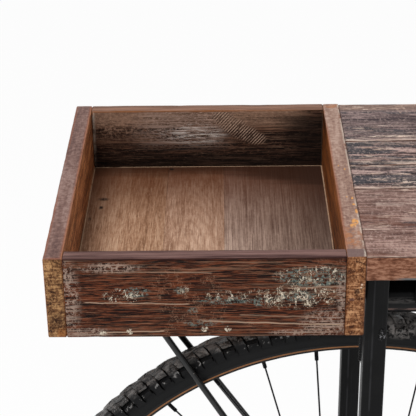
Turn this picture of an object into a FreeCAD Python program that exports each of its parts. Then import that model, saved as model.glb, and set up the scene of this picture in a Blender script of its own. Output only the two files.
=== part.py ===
"""Counter-height table: a plank top with an open tray at its left end, carried by two wheel-and-post legs.

Frame: +X along the table to the right, +Y to the back, +Z up. The origin is on the floor, under the
middle of the table. Lengths are millimetres and angles degrees.
"""
import FreeCAD, Part
import math
import os
import re

import Sketcher

# Driving sizes
sizes = {
    # Whole table
    "table_length": 1600, "table_depth": 315,
    # Tray: full-depth side walls, with the front and back boards and the floor boards between them
    "tray_width": 265, "tray_height": 76, "tray_lip": 1, "tray_side_wall": 16, "tray_end_board": 14,
    "tray_arris": 1.2, "floor_thickness": 13.6, "floor_board_count": 3, "corner_screw_inset": 18,
    "corner_screw_bite": 24,
    # Plank top; the back plank takes what the other three leave
    "plank_thickness": 22, "front_plank_width": 124.5, "second_plank_width": 49.5, "third_plank_width": 52.5,
    "plank_arris": 0.8,
    # Square-tube leg frames, the rails under the top, and the round tube over the wheels
    "tube_side": 20, "tube_wall": 1.5, "post_gap": 178, "crown_bar_depth": 44, "top_tube_radius": 22,
    "top_tube_wall": 2, "top_tube_clearance": 4.7, "hanger_offset": 65.8, "hanger_drop": 59.4,
    "hanger_width": 40, "hanger_thickness": 4,
    # Foot bars with their end plugs and glides
    "foot_length": 300, "foot_clearance": 14.9, "plug_thickness": 3, "plug_depth": 12, "glide_height": 6,
    "glide_radius": 9, "glide_stem_radius": 4, "glide_stem_length": 10, "glide_inset": 18,
    # Fixing tabs, packing plates and wood screws
    "tab_length": 24, "tab_width": 22, "tab_thickness": 3, "tab_count": 4, "packing_thickness": 6,
    "packing_width": 50, "packing_height": 46, "screw_radius": 2, "screw_head_radius": 4, "screw_head_height": 2.4,
    "screw_margin": 9,
    # Stays from the axle to the bracket under the tray
    "stay_radius": 3.15, "stay_top_inset": 36.6, "stay_clearance": 0.6, "stay_tail": 6,
    "bracket_length": 54, "bracket_width": 50, "bracket_thickness": 3, "bracket_inset": 18,
    # Wheel: tyre, inner tube, rim and tape
    "bead_seat_radius": 311.2, "tyre_height": 32.8, "tyre_half_width": 16.2, "crown_thickness": 8,
    "tread_depth": 5, "tread_pitches": 88, "tread_groove": 9, "tread_rib": 5, "seat_gap": 0.3,
    "air_tube_slack": 0.9, "air_tube_wall": 1, "rim_flange_height": 6.1, "rim_depth": 5.6,
    "rim_half_width": 12.5, "rim_wall": 1.3, "rim_tape_half_width": 5.6, "rim_tape_thickness": 0.5,
    "rim_tape_lift": 2.6,
    # Wheel: spokes, nipples and valve
    "spoke_count": 36, "spoke_radius": 0.9, "spoke_hole_gap": 0.4, "outside_spoke_lift": 1.2,
    "lacing_turn": -8.2, "near_lean": 65, "far_lean": 75, "rim_hole_stagger": 1.5, "nipple_radius": 1.95,
    "nipple_length": 12, "nipple_thread": 5, "nipple_head_flange": 0.95, "nipple_head_height": 1.4,
    "valve_radius": 3.9, "valve_length": 42,
    # Axle, and from it outwards: cones, balls, hub shell, nuts, washers and sleeves
    "axle_radius": 5, "axle_hole_gap": 0.25, "axle_tail": 3, "cone_wall": 2.3, "cone_setback": 1,
    "cone_collar": 1.2, "cone_collar_height": 1.7, "ball_radius": 2.5, "ball_gap": 0.35, "ball_count": 9,
    "cup_depth": 8, "dust_cap_thickness": 1.4, "running_gap": 0.08, "turning_gap": 0.3, "hub_half_width": 37,
    "hub_barrel_wall": 1, "hub_end_wall": 3.5, "hub_end_length": 4.5, "hub_flange_radius": 28,
    "hub_flange_thickness": 3, "spoke_hole_inset": 3, "nut_flats": 17, "lock_nut_height": 2.5,
    "axle_nut_height": 8, "washer_flange": 5, "washer_thickness": 2, "sleeve_wall": 4.5,
    # How far a cutting shape runs past what it cuts
    "overrun": 1,
}

# Places and fits that follow from the driving sizes
places = {
    "axle_inset": "tray_width + packing_thickness + tube_side / 2",
    "axle_x": "table_length / 2 - axle_inset",
    "hanger_x": "axle_x - hanger_offset",
    "post_y": "post_gap / 2 + tube_side / 2",
    "post_face": "post_gap / 2 + tube_side",
    "tyre_radius": "bead_seat_radius + tyre_height",
    "flange_radius": "bead_seat_radius + rim_flange_height",
    "rim_bed_radius": "bead_seat_radius - rim_depth",
    "foot_top": "glide_height + tube_side",
    "axle_height": "foot_top + foot_clearance + tyre_radius",
    "top_tube_height": "axle_height + tyre_radius + top_tube_clearance + top_tube_radius",
    "rail_bottom": "top_tube_height + top_tube_radius + hanger_drop",
    "rail_height": "rail_bottom + tube_side / 2",
    "underside": "rail_bottom + tube_side",
    "rim_height": "underside + plank_thickness + tray_lip",
    "tray_left": "-table_length / 2",
    "tray_right": "tray_left + tray_width",
    "tray_bottom": "rim_height - tray_height",
    "tray_inside": "tray_width - 2 * tray_side_wall",
    "cone_radius": "axle_radius + cone_wall",
    "cup_radius": "cone_radius + 2 * ball_radius + 2 * ball_gap",
    "hub_bore_radius": "cone_radius + turning_gap",
    "hub_barrel_radius": "cup_radius + hub_barrel_wall",
    "hub_end_radius": "cup_radius + hub_end_wall",
    "hub_flange_outer": "hub_half_width - hub_end_length",
    "hub_flange_inner": "hub_flange_outer - hub_flange_thickness",
    "spoke_circle_radius": "hub_flange_radius - spoke_hole_inset",
    "cone_face": "hub_half_width + turning_gap",
    "cone_nose": "cone_face - hub_half_width + cup_depth - cone_setback",
    "lock_face": "cone_face + cone_collar_height",
    "sleeve_face": "lock_face + lock_nut_height",
    "sleeve_radius": "axle_radius + sleeve_wall",
    "axle_half": "post_face + washer_thickness + axle_nut_height + axle_tail",
}


def formula(text, own_sheet=""):
    """Names the sheet in front of each size or place in a sum, apart from the sheet's own."""
    def qualified(word):
        name = word.group()
        for sheet_name, table in (("sizes", sizes), ("places", places)):
            if name in table and sheet_name != own_sheet:
                return f"{sheet_name}.{name}"
        return name

    return re.sub("[a-z_]+", qualified, text)


def fill_sheet(sheet, table, written):
    for row, (name, value) in enumerate(table.items(), start=1):
        sheet.set(f"A{row}", name)
        sheet.setAlias(f"B{row}", name)
        sheet.set(f"B{row}", written(value))


doc = FreeCAD.newDocument("wheel_table")
size_sheet = doc.addObject("Spreadsheet::Sheet", "sizes")
fill_sheet(size_sheet, sizes, str)
place_sheet = doc.addObject("Spreadsheet::Sheet", "places")
fill_sheet(place_sheet, places, lambda text: "=" + formula(text, "places"))
doc.recompute()


class Size:
    """Reads a size or a place from its sheet by name."""

    def __getattr__(self, name):
        return float((size_sheet if name in sizes else place_sheet).get(name))


size = Size()
nodes = []

ALONG = {
    "x": FreeCAD.Rotation(FreeCAD.Vector(0, 1, 0), 90),
    "y": FreeCAD.Rotation(FreeCAD.Vector(1, 0, 0), -90),
    "z": FreeCAD.Rotation(),
}
SECTION_PLANE = {"x": "YZ_Plane", "y": "XZ_Plane", "z": "XY_Plane"}
AXLE_AXIS = FreeCAD.Vector(0, 1, 0)
HEX = 6
ENDS = (("left", -1), ("right", 1))
SIDES = (("front", -1), ("back", 1))


def bind(piece, prop, text):
    piece.setExpression(prop, formula(text))


def place(piece, point):
    for axis, text in zip("xyz", point):
        bind(piece, "Placement.Base." + axis, text)


def keep(label, piece):
    """Lists a finished sub-part under the name of its file."""
    piece.Label = label
    nodes.append(piece)
    return piece


def block(name, corner, extent):
    box = doc.addObject("Part::Box", name)
    for prop, text in zip(("Length", "Width", "Height"), extent):
        bind(box, prop, text)
    place(box, corner)
    return box


def rod(name, radius, length, start, along):
    cylinder = doc.addObject("Part::Cylinder", name)
    bind(cylinder, "Radius", radius)
    bind(cylinder, "Height", length)
    cylinder.Placement.Rotation = ALONG[along]
    place(cylinder, start)
    return cylinder


def cut(name, base, tool):
    piece = doc.addObject("Part::Cut", name)
    piece.Base = base
    piece.Tool = tool
    return piece


def fuse(name, shapes):
    piece = doc.addObject("Part::MultiFuse", name)
    piece.Shapes = shapes
    return piece


def group(name, pieces):
    """Several separate solids that share one name."""
    compound = doc.addObject("Part::Compound", name)
    compound.Links = pieces
    return compound


def ring(name, outer, inner, length, start, along):
    """A washer or sleeve: a rod with a bore through it."""
    axis = "xyz".index(along)
    bore_start = [f"{text} - overrun" if i == axis else text for i, text in enumerate(start)]
    bore = rod(name + "_bore", inner, f"{length} + 2 * overrun", bore_start, along)
    return cut(name, rod(name + "_outside", outer, length, start, along), bore)


def outline(sketch, points):
    """Draws a closed outline whose corners are held by distances from the origin.

    The lines are first laid round a unit circle, and the distances then pull each corner to its place.
    """
    first = len(sketch.Geometry)
    turn = 2 * math.pi / len(points)
    corners = [FreeCAD.Vector(math.cos(turn * i), math.sin(turn * i), 0) for i in range(len(points) + 1)]
    for start, end in zip(corners, corners[1:]):
        sketch.addGeometry(Part.LineSegment(start, end))
    for i, point in enumerate(points):
        following = first + (i + 1) % len(points)
        sketch.addConstraint(Sketcher.Constraint("Coincident", first + i, 2, following, 1))
        for kind, text in zip(("DistanceX", "DistanceY"), point):
            held = sketch.addConstraint(Sketcher.Constraint(kind, -1, 1, first + i, 1, 0))
            sketch.setExpression(f"Constraints[{held}]", formula(text))


def section_sketch(body, plane):
    origin_plane = next(item for item in body.Origin.OriginFeatures if item.Role == plane)
    sketch = body.newObject("Sketcher::SketchObject", body.Name + "_section")
    sketch.AttachmentSupport = (origin_plane, [""])
    sketch.MapMode = "FlatFace"
    return sketch


def bar(name, along, start, length, width, depth, arris="", wall=""):
    """A straight board or tube, padded along an axis from a section centred on that axis.

    An arris takes the section's four corners off, and a wall leaves it hollow.
    """
    body = doc.addObject("PartDesign::Body", name)
    sketch = section_sketch(body, SECTION_PLANE[along])
    half, tall = f"{width} / 2", f"{depth} / 2"
    if arris:
        outline(sketch, [
            (f"-{half} + {arris}", f"-{tall}"), (f"{half} - {arris}", f"-{tall}"),
            (half, f"-{tall} + {arris}"), (half, f"{tall} - {arris}"),
            (f"{half} - {arris}", tall), (f"-{half} + {arris}", tall),
            (f"-{half}", f"{tall} - {arris}"), (f"-{half}", f"-{tall} + {arris}")])
    else:
        outline(sketch, [(f"-{half}", f"-{tall}"), (half, f"-{tall}"), (half, tall), (f"-{half}", tall)])
    if wall:
        outline(sketch, [
            (f"-{half} + {wall}", f"-{tall} + {wall}"), (f"{half} - {wall}", f"-{tall} + {wall}"),
            (f"{half} - {wall}", f"{tall} - {wall}"), (f"-{half} + {wall}", f"{tall} - {wall}")])
    pad = body.newObject("PartDesign::Pad", name + "_pad")
    pad.Profile = sketch
    pad.Reversed = along == "y"
    bind(pad, "Length", length)
    body.Tip = pad
    place(body, start)
    return body


def tube(name, along, start, length, depth="tube_side"):
    """A length of the square tube, or of a flat one with the same wall."""
    return bar(name, along, start, length, "tube_side", depth, wall="tube_wall")


def turned(name, half_outline):
    """A ring turned about the axle from half its section, which its mirror completes.

    Each corner is a radius and a distance from the middle plane.
    """
    body = doc.addObject("PartDesign::Body", name)
    sketch = section_sketch(body, "XY_Plane")
    mirrored = [(radius, f"-({offset})") for radius, offset in reversed(half_outline)]
    outline(sketch, half_outline + mirrored)
    revolution = body.newObject("PartDesign::Revolution", name + "_turned")
    revolution.Profile = sketch
    revolution.ReferenceAxis = (sketch, ["V_Axis"])
    revolution.Angle = 360
    body.Tip = revolution
    return body


def shaped(name, shape, placement=None):
    piece = doc.addObject("Part::Feature", name)
    piece.Shape = shape
    if placement:
        piece.Placement = placement
    return piece


def screw(name, head, toward, bite):
    """A wood screw from the middle of its head's outer face, driven up or down an axis."""
    sign, along = toward
    axis = "xyz".index(along)

    def span_start(distance, length):
        back = f" - ({length})" if sign == "-" else ""
        return [f"{text} {sign} ({distance}){back}" if i == axis else text for i, text in enumerate(head)]

    head_start = span_start("0", "screw_head_height")
    top = rod(name + "_head", "screw_head_radius", "screw_head_height", head_start, along)
    shank = rod(name + "_shank", "screw_radius", bite, span_start("screw_head_height", bite), along)
    return fuse(name, [top, shank])


# Planks of the top
plank_starts = ["-table_depth / 2"]
plank_widths = ["front_plank_width", "second_plank_width", "third_plank_width"]
for width in plank_widths:
    plank_starts.append(f"{plank_starts[-1]} + {width}")
plank_widths.append(f"(table_depth - {' - '.join(plank_widths)})")
plank_names = ("top_plank_front", "top_plank_second", "top_plank_third", "top_plank_back")
planks = []
for name, edge, width in zip(plank_names, plank_starts, plank_widths):
    middle = ["tray_right", f"{edge} + {width} / 2", "underside + plank_thickness / 2"]
    planks.append(bar(name + "_board", "x", middle, "table_length - tray_width", width, "plank_thickness",
                      arris="plank_arris"))


# Rails under the top, and cross rails between them
for side, sign in SIDES:
    start = ["-axle_x - tube_side / 2", f"{sign} * post_y", "rail_height"]
    keep(f"{side}_top_rail", tube(f"{side}_rail", "x", start, "2 * axle_x + tube_side"))
cross_rail_places = ["-axle_x", "-hanger_x", "0", "hanger_x", "axle_x"]
cross_rails = []
for number, x in enumerate(cross_rail_places, start=1):
    cross_rails.append(tube(f"cross_rail_{number}", "y", [x, "-post_gap / 2", "rail_height"], "post_gap"))
keep("cross_rails", group("cross_rail_set", cross_rails))


# Fixing tabs on the cross rails, evenly spaced, with a screw up into the plank over each
SCREW_SHARE = 0.75
tabs, tab_screws = [], []
for number, x in enumerate(cross_rail_places, start=1):
    on_right_half = number > len(cross_rail_places) // 2 + 1
    corner_x = f"{x} - tube_side / 2 - tab_length" if on_right_half else f"{x} + tube_side / 2"
    for step in range(int(size.tab_count)):
        tab_y = f"-post_gap / 2 + {step} * (post_gap - tab_width) / (tab_count - 1)"
        tabs.append(block(f"tab_{number}_{step + 1}", [corner_x, tab_y, "underside - tab_thickness"],
                          ["tab_length", "tab_width", "tab_thickness"]))
        head = [f"{corner_x} + tab_length / 2", f"{tab_y} + tab_width / 2",
                "underside - tab_thickness - screw_head_height"]
        tab_screws.append(screw(f"tab_screw_{number}_{step + 1}", head, "+z",
                                f"tab_thickness + {SCREW_SHARE} * plank_thickness"))
screw_set = keep("tab_screws", group("tab_screw_set", tab_screws))
keep("fixing_tabs", cut("fixing_tab_set", group("tab_blanks", tabs), screw_set))
for name, plank in zip(plank_names, planks):
    keep(name, cut(name + "_drilled", plank, screw_set))


# Posts, drilled for the axles
for end, across in ENDS:
    for side, sign in SIDES:
        x, y = f"{across} * axle_x", f"{sign} * post_y"
        post = tube(f"{end}_{side}_tube", "z", [x, y, "foot_top"], "rail_bottom - foot_top")
        hole = rod(f"{end}_{side}_hole", "axle_radius + axle_hole_gap", "tube_side + 2 * overrun",
                   [x, f"{y} - tube_side / 2 - overrun", "axle_height"], "y")
        keep(f"{end}_{side}_post", cut(f"{end}_{side}_drilled", post, hole))


# Crown bars between the posts, and the round tube that joins them over the wheels
crown_height = "top_tube_height - top_tube_radius + crown_bar_depth / 2"
crown_bars = [
    tube(f"{end}_crown_bar", "y", [f"{across} * axle_x", "-post_gap / 2", crown_height], "post_gap",
         "crown_bar_depth")
    for end, across in ENDS]
keep("crown_bars", group("crown_bar_set", crown_bars))
keep("top_tube", ring("round_tube", "top_tube_radius", "top_tube_radius - top_tube_wall",
                      "2 * axle_x - tube_side", ["-axle_x + tube_side / 2", "0", "top_tube_height"], "x"))


# Hanger plates: a pair at each end, from a cross rail down to the middle of the round tube
hangers = []
for end, across in ENDS:
    for side, sign in SIDES:
        near_face = "top_tube_radius" if sign > 0 else "-top_tube_radius - hanger_thickness"
        corner = [f"{across} * hanger_x - hanger_width / 2", near_face, "top_tube_height"]
        hangers.append(block(f"{end}_{side}_hanger", corner,
                             ["hanger_width", "hanger_thickness", "rail_bottom - top_tube_height"]))
keep("hanger_plates", group("hanger_set", hangers))


# Foot bars, their end plugs, and the glides that the table stands on
foot_bars, plugs, glides = [], [], []
tongue_side = "(tube_side - 2 * tube_wall)"
for end, across in ENDS:
    x = f"{across} * axle_x"
    bare = tube(f"{end}_foot_tube", "y", [x, "-foot_length / 2", "glide_height + tube_side / 2"], "foot_length")
    stems = []
    for side, sign in SIDES:
        glide_y = f"{sign} * (foot_length / 2 - glide_inset)"
        stem = rod(f"{end}_{side}_stem", "glide_stem_radius", "glide_stem_length", [x, glide_y, "glide_height"],
                   "z")
        stems.append(stem)
        pad = rod(f"{end}_{side}_glide_pad", "glide_radius", "glide_height", [x, glide_y, "0"], "z")
        glides.append(fuse(f"{end}_{side}_glide", [pad, stem]))
        bar_end = f"{sign} * foot_length / 2"
        cap_y = bar_end if sign > 0 else f"{bar_end} - plug_thickness"
        tongue_y = f"{bar_end} - plug_depth" if sign > 0 else bar_end
        cap = block(f"{end}_{side}_cap", [f"{x} - tube_side / 2", cap_y, "glide_height"],
                    ["tube_side", "plug_thickness", "tube_side"])
        tongue = block(f"{end}_{side}_tongue", [f"{x} - {tongue_side} / 2", tongue_y, "glide_height + tube_wall"],
                       [tongue_side, "plug_depth", tongue_side])
        plugs.append(cut(f"{end}_{side}_plug", fuse(f"{end}_{side}_plug_blank", [cap, tongue]), stem))
    foot_bars.append(cut(f"{end}_foot_bar", bare, group(f"{end}_stems", stems)))
keep("foot_bars", group("foot_bar_set", foot_bars))
keep("foot_end_plugs", group("foot_plug_set", plugs))
keep("foot_glides", group("glide_set", glides))


# Packing plates between the tray's right wall and the leg frame, screwed into the wall beside the posts
PACKING_SCREW_SHARES = (0.3, 0.7)
packings, packing_screws = [], []
for side, sign in SIDES:
    start_y = "post_face - packing_width" if sign > 0 else "-post_face"
    packings.append(block(f"{side}_packing", ["tray_right", start_y, "underside - packing_height"],
                          ["packing_thickness", "packing_width", "packing_height"]))
    for number, share in enumerate(PACKING_SCREW_SHARES, start=1):
        head = ["tray_right + packing_thickness + screw_head_height",
                f"{sign} * (post_gap / 2 - {share} * (packing_width - tube_side))",
                "rail_bottom - (packing_height - tube_side) / 2"]
        packing_screws.append(screw(f"{side}_packing_screw_{number}", head, "-x",
                                    f"packing_thickness + {SCREW_SHARE} * tray_side_wall"))
packing_screw_set = keep("packing_screws", group("packing_screw_set", packing_screws))
keep("packing_plates", cut("packing_plate_set", group("packing_blanks", packings), packing_screw_set))


# Bracket under the tray's floor, and its screws
bracket_screws = []
for end_inset in ("screw_margin", "bracket_length - screw_margin"):
    for side, sign in SIDES:
        head = [f"tray_left + bracket_inset + {end_inset}", f"{sign} * (bracket_width - screw_margin) / 2",
                "tray_bottom - bracket_thickness - screw_head_height"]
        bracket_screws.append(screw(f"bracket_screw_{len(bracket_screws) + 1}", head, "+z",
                                    f"bracket_thickness + {SCREW_SHARE} * floor_thickness"))
bracket_screw_set = keep("bracket_screws", group("bracket_screw_set", bracket_screws))
bracket = block("bracket_blank",
                ["tray_left + bracket_inset", "-bracket_width / 2", "tray_bottom - bracket_thickness"],
                ["bracket_length", "bracket_width", "bracket_thickness"])
keep("stay_bracket", cut("bracket_plate", bracket, bracket_screw_set))


# Tray: two side walls, a front and a back board, floor boards, and the screws in its corners
corner_screws = []
for end, toward in (("left", "+x"), ("right", "-x")):
    for side, sign in SIDES:
        screw_y = f"{sign} * (table_depth - tray_end_board) / 2"
        for level, screw_z in (("top", "rim_height - corner_screw_inset"),
                               ("low", "tray_bottom + corner_screw_inset")):
            corner_screws.append(screw(f"{end}_{side}_{level}_screw", [f"tray_{end}", screw_y, screw_z], toward,
                                       "tray_side_wall + corner_screw_bite"))
corner_screw_set = keep("tray_corner_screws", group("corner_screw_set", corner_screws))
wall_height = "rim_height - tray_height / 2"
right_wall_screws = group("right_wall_screws", [corner_screw_set, packing_screw_set])
for end, wall_x, screws in (("left", "tray_left + tray_side_wall / 2", corner_screw_set),
                            ("right", "tray_right - tray_side_wall / 2", right_wall_screws)):
    wall = bar(f"{end}_wall_board", "y", [wall_x, "-table_depth / 2", wall_height], "table_depth",
               "tray_side_wall", "tray_height", arris="tray_arris")
    keep(f"tray_{end}_wall", cut(f"{end}_wall_drilled", wall, screws))
for side, sign in SIDES:
    middle = ["tray_left + tray_side_wall", f"{sign} * (table_depth - tray_end_board) / 2", wall_height]
    board = bar(f"{side}_board", "x", middle, "tray_inside", "tray_end_board", "tray_height", arris="tray_arris")
    keep(f"tray_{side}_board", cut(f"{side}_board_drilled", board, corner_screw_set))
floor_boards = []
for number in range(int(size.floor_board_count)):
    start = [f"tray_left + tray_side_wall + ({2 * number + 1}) * tray_inside / (2 * floor_board_count)",
             "-table_depth / 2 + tray_end_board", "tray_bottom + floor_thickness / 2"]
    floor_boards.append(bar(f"floor_board_{number + 1}", "y", start, "table_depth - 2 * tray_end_board",
                            "(tray_inside / floor_board_count)", "floor_thickness"))
keep("tray_floor_boards", cut("floor_boards_drilled", group("floor_blanks", floor_boards), bracket_screw_set))


# Tyre: a hollow casing turned about the axle, with grooves cut across both halves of its tread.
# Each pair of shares is of the height over the bead seat and of the half width.
tyre_outline_shares = ((0.27, 0.815), (0.39, 0.938), (0.49, 0.98), (0.49, 1.0), (0.69, 0.975), (0.89, 0.835),
                       (1.0, 0.52))
TOE_HALF_SHARE, NECK_HALF_SHARE, NECK_HEIGHT_SHARE = 0.51, 0.575, 0.22
SHOULDER = 4
seat_radius = size.bead_seat_radius + size.seat_gap
bead_offset = size.rim_half_width - size.rim_wall - size.seat_gap
neck_radius = size.bead_seat_radius + NECK_HEIGHT_SHARE * size.tyre_height
neck_offset = NECK_HALF_SHARE * size.tyre_half_width
casing_bead = [
    (neck_radius, neck_offset), (seat_radius, TOE_HALF_SHARE * size.tyre_half_width),
    (seat_radius, bead_offset), (size.flange_radius + size.seat_gap, bead_offset)]
casing_outside = [
    (size.bead_seat_radius + up * size.tyre_height, out * size.tyre_half_width) for up, out in tyre_outline_shares]
casing_inner_radius = size.tyre_radius - size.crown_thickness


def tyre_casing():
    upper = [FreeCAD.Vector(radius, offset, 0) for radius, offset in casing_bead + casing_outside]
    lower = [FreeCAD.Vector(point.x, -point.y, 0) for point in reversed(upper)]
    corners = upper + lower
    edges = [Part.LineSegment(start, end).toShape() for start, end in zip(corners, corners[1:])]
    edges.append(Part.Arc(lower[-1], FreeCAD.Vector(casing_inner_radius, 0, 0), upper[0]).toShape())
    return Part.Face(Part.Wire(edges)).revolve(FreeCAD.Vector(), AXLE_AXIS, 360)


def tread_grooves():
    """Blocks that cut the grooves, half a pitch apart on the two sides of the middle rib."""
    grooves = []
    turn = 360 / size.tread_pitches
    width = size.tyre_half_width + size.overrun - size.tread_rib / 2
    for number in range(int(size.tread_pitches)):
        for side, sign in SIDES:
            start = size.tread_rib / 2 if sign > 0 else -size.tread_rib / 2 - width
            corner = FreeCAD.Vector(size.tyre_radius - size.tread_depth, start, -size.tread_groove / 2)
            groove = Part.makeBox(size.tread_depth + size.overrun, width, size.tread_groove, corner)
            groove.rotate(FreeCAD.Vector(), AXLE_AXIS, turn * (number + (1 + sign) / 4))
            grooves.append(groove)
    return grooves


# Stays: a round rod each side of the tyre, welded to the axle's sleeve and to the tray's bracket.
# Each lies along the sleeve's upper side, and clears the tyre's shoulder on its way up.
axle_point = FreeCAD.Vector(-size.axle_x, 0, size.axle_height)
stay_top = FreeCAD.Vector(size.tray_left + size.stay_top_inset, 0, size.tray_bottom)
sleeve_reach = size.sleeve_radius + size.stay_radius
to_axle = axle_point - stay_top
slope = math.atan2(-to_axle.z, to_axle.x) - math.asin(sleeve_reach / to_axle.Length)
stay_length = math.sqrt(to_axle.Length ** 2 - sleeve_reach ** 2)
shoulder_radius, shoulder_offset = casing_outside[SHOULDER]
shoulder_length = math.sqrt(shoulder_radius ** 2 - sleeve_reach ** 2)
foot_offset = size.sleeve_face + size.stay_radius
spread = math.atan2(foot_offset - shoulder_offset - size.stay_clearance - size.stay_radius, shoulder_length)
top_offset = foot_offset - math.tan(spread) * stay_length
for side, sign in SIDES:
    top = stay_top + FreeCAD.Vector(0, sign * top_offset, 0)
    foot = stay_top + FreeCAD.Vector(stay_length * math.cos(slope), sign * foot_offset,
                                     -stay_length * math.sin(slope))
    run = foot - top
    stay = Part.makeCylinder(size.stay_radius, run.Length + size.stay_tail, top, run)
    bracket_space = Part.makeBox(
        size.bracket_length, size.bracket_width, size.bracket_length,
        FreeCAD.Vector(stay_top.x - size.bracket_length / 2, -size.bracket_width / 2,
                       size.tray_bottom - size.bracket_thickness))
    keep(f"{side}_stay", shaped(f"{side}_stay_rod", stay.cut(bracket_space)))


# Spokes, and the nipples and holes that follow their lines
def wheel_point(radius, angle, offset):
    """A point on the wheel: its radius, its angle from the top towards +X, and its distance along the axle."""
    turn = math.radians(angle)
    return FreeCAD.Vector(radius * math.sin(turn), offset, radius * math.cos(turn))


def spoke_lines():
    """Each spoke's end at the rim and at the hub, and its elbow, which runs through the flange from there.

    The spokes are laced in fours: front leaning back, back leaning back, back forward, front forward.
    Those that lean back leave the outside of their flange, and the others the inside.
    """
    pattern = ((-1, -size.near_lean), (1, -size.far_lean), (1, size.far_lean), (-1, size.near_lean))
    bed = size.rim_bed_radius + size.rim_wall + size.spoke_hole_gap
    beside = size.spoke_radius + size.running_gap
    lines = []
    for number in range(int(size.spoke_count)):
        side, lean = pattern[number % len(pattern)]
        angle = size.lacing_turn - number * 360 / size.spoke_count
        if lean < 0:
            hub_offset = size.hub_flange_outer + beside + size.outside_spoke_lift
            elbow_end = size.hub_flange_inner - size.running_gap
        else:
            hub_offset = size.hub_flange_inner - beside
            elbow_end = size.hub_flange_outer + size.running_gap
        lines.append((wheel_point(bed, angle, side * size.rim_hole_stagger),
                      wheel_point(size.spoke_circle_radius, angle + lean, side * hub_offset),
                      FreeCAD.Vector(0, side * (elbow_end - hub_offset), 0)))
    return lines


def spoke_set():
    """Each spoke is a straight wire with an elbow through its flange and a flat head behind it."""
    spokes = []
    for rim_end, hub_end, elbow_run in spoke_lines():
        run = rim_end - hub_end
        wire = Part.makeCylinder(size.spoke_radius, run.Length - size.nipple_length + size.nipple_thread, hub_end,
                                 run)
        elbow = Part.makeCylinder(size.spoke_radius, elbow_run.Length, hub_end, elbow_run)
        head = Part.makeCylinder(2 * size.spoke_radius, size.spoke_radius, hub_end + elbow_run, elbow_run)
        corner = Part.makeSphere(size.spoke_radius, hub_end)
        spokes.append(wire.fuse([elbow, head, corner]))
    return Part.makeCompound(spokes)


def nipple_set():
    """Each nipple is a sleeve on the end of its spoke, with a head that bears on the rim's bed."""
    nipples = []
    head_radius = size.nipple_radius + size.nipple_head_flange
    for rim_end, hub_end, elbow_run in spoke_lines():
        out = (rim_end - hub_end).normalize()
        start = rim_end - out * size.nipple_length
        sleeve = Part.makeCylinder(size.nipple_radius, size.nipple_length, start, out)
        head = Part.makeCylinder(head_radius, size.nipple_head_height, rim_end, out)
        bore = Part.makeCylinder(size.spoke_radius, size.nipple_thread, start, out)
        nipples.append(sleeve.fuse(head).cut(bore))
    return Part.makeCompound(nipples)


def rim_hole_set():
    """Round holes through the rim's bed for the nipples, and one for the valve."""
    depth = size.rim_depth + 2 * size.overrun
    to_nipple_start = size.rim_wall + size.spoke_hole_gap + size.overrun
    holes = []
    for rim_end, hub_end, elbow_run in spoke_lines():
        out = (rim_end - hub_end).normalize()
        holes.append(Part.makeCylinder(size.nipple_radius + size.spoke_hole_gap, depth,
                                       rim_end - out * to_nipple_start, out))
    holes.append(Part.makeCylinder(size.valve_radius + size.spoke_hole_gap, depth,
                                   valve_out * (size.rim_bed_radius - size.overrun), valve_out))
    return Part.makeCompound(holes)


def flange_hole_set():
    """Holes for the spokes through both of the hub's flanges, in line along the axle."""
    holes = []
    for number in range(int(size.spoke_count / 2)):
        angle = size.lacing_turn - size.near_lean + 2 * number * 360 / size.spoke_count
        start = wheel_point(size.spoke_circle_radius, angle, -size.hub_half_width)
        holes.append(Part.makeCylinder(size.spoke_radius + size.spoke_hole_gap, 2 * size.hub_half_width, start,
                                       AXLE_AXIS))
    return Part.makeCompound(holes)


def ball_set():
    circle = (size.cup_radius + size.cone_radius) / 2
    offset = size.hub_half_width - size.dust_cap_thickness - size.turning_gap - size.ball_radius
    return Part.makeCompound([
        Part.makeSphere(size.ball_radius, wheel_point(circle, number * 360 / size.ball_count, sign * offset))
        for number in range(int(size.ball_count)) for side, sign in SIDES])


# The valve stands between two nipples, opposite the top of the wheel
valve_out = wheel_point(1, size.lacing_turn - 180 + 180 / size.spoke_count, 0)

# The inner tube follows the circle that the casing's inside makes
inside_drop = casing_inner_radius - neck_radius
inside_radius = (neck_offset ** 2 + inside_drop ** 2) / (2 * inside_drop)
air_tube_radius = inside_radius - size.air_tube_slack
air_tube_centre = casing_inner_radius - size.seat_gap - air_tube_radius
valve_seat = air_tube_centre - air_tube_radius - size.running_gap

# Corners of the rim's section, as shares of its half width, its depth and its wall
BED_HALF_SHARE, WELL_HALF_SHARE, SEAT_HALF_SHARE, KNEE_HALF_SHARE = 0.16, 0.34, 0.68, 0.82
KNEE_DEPTH_SHARE, WELL_LIFT_SHARE = 0.77, 0.4
rim_half = [
    ("rim_bed_radius", f"{BED_HALF_SHARE} * rim_half_width"),
    (f"rim_bed_radius + {KNEE_DEPTH_SHARE} * rim_depth", f"{KNEE_HALF_SHARE} * rim_half_width"),
    ("bead_seat_radius", "rim_half_width"), ("flange_radius", "rim_half_width"),
    ("flange_radius", "rim_half_width - rim_wall"), ("bead_seat_radius", "rim_half_width - rim_wall"),
    ("bead_seat_radius", f"{SEAT_HALF_SHARE} * rim_half_width"),
    (f"rim_bed_radius + (1 + {WELL_LIFT_SHARE}) * rim_wall", f"{WELL_HALF_SHARE} * rim_half_width"),
    ("rim_bed_radius + rim_wall", f"{BED_HALF_SHARE} * rim_half_width"),
]
hub_half = [
    ("hub_barrel_radius", "hub_flange_inner"), ("hub_flange_radius", "hub_flange_inner"),
    ("hub_flange_radius", "hub_flange_outer"), ("hub_end_radius", "hub_flange_outer"),
    ("hub_end_radius", "hub_half_width"), ("cup_radius", "hub_half_width"),
    ("cup_radius", "hub_half_width - cup_depth"), ("hub_bore_radius", "hub_half_width - cup_depth"),
]
rim_holes, flange_holes = rim_hole_set(), flange_hole_set()
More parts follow.
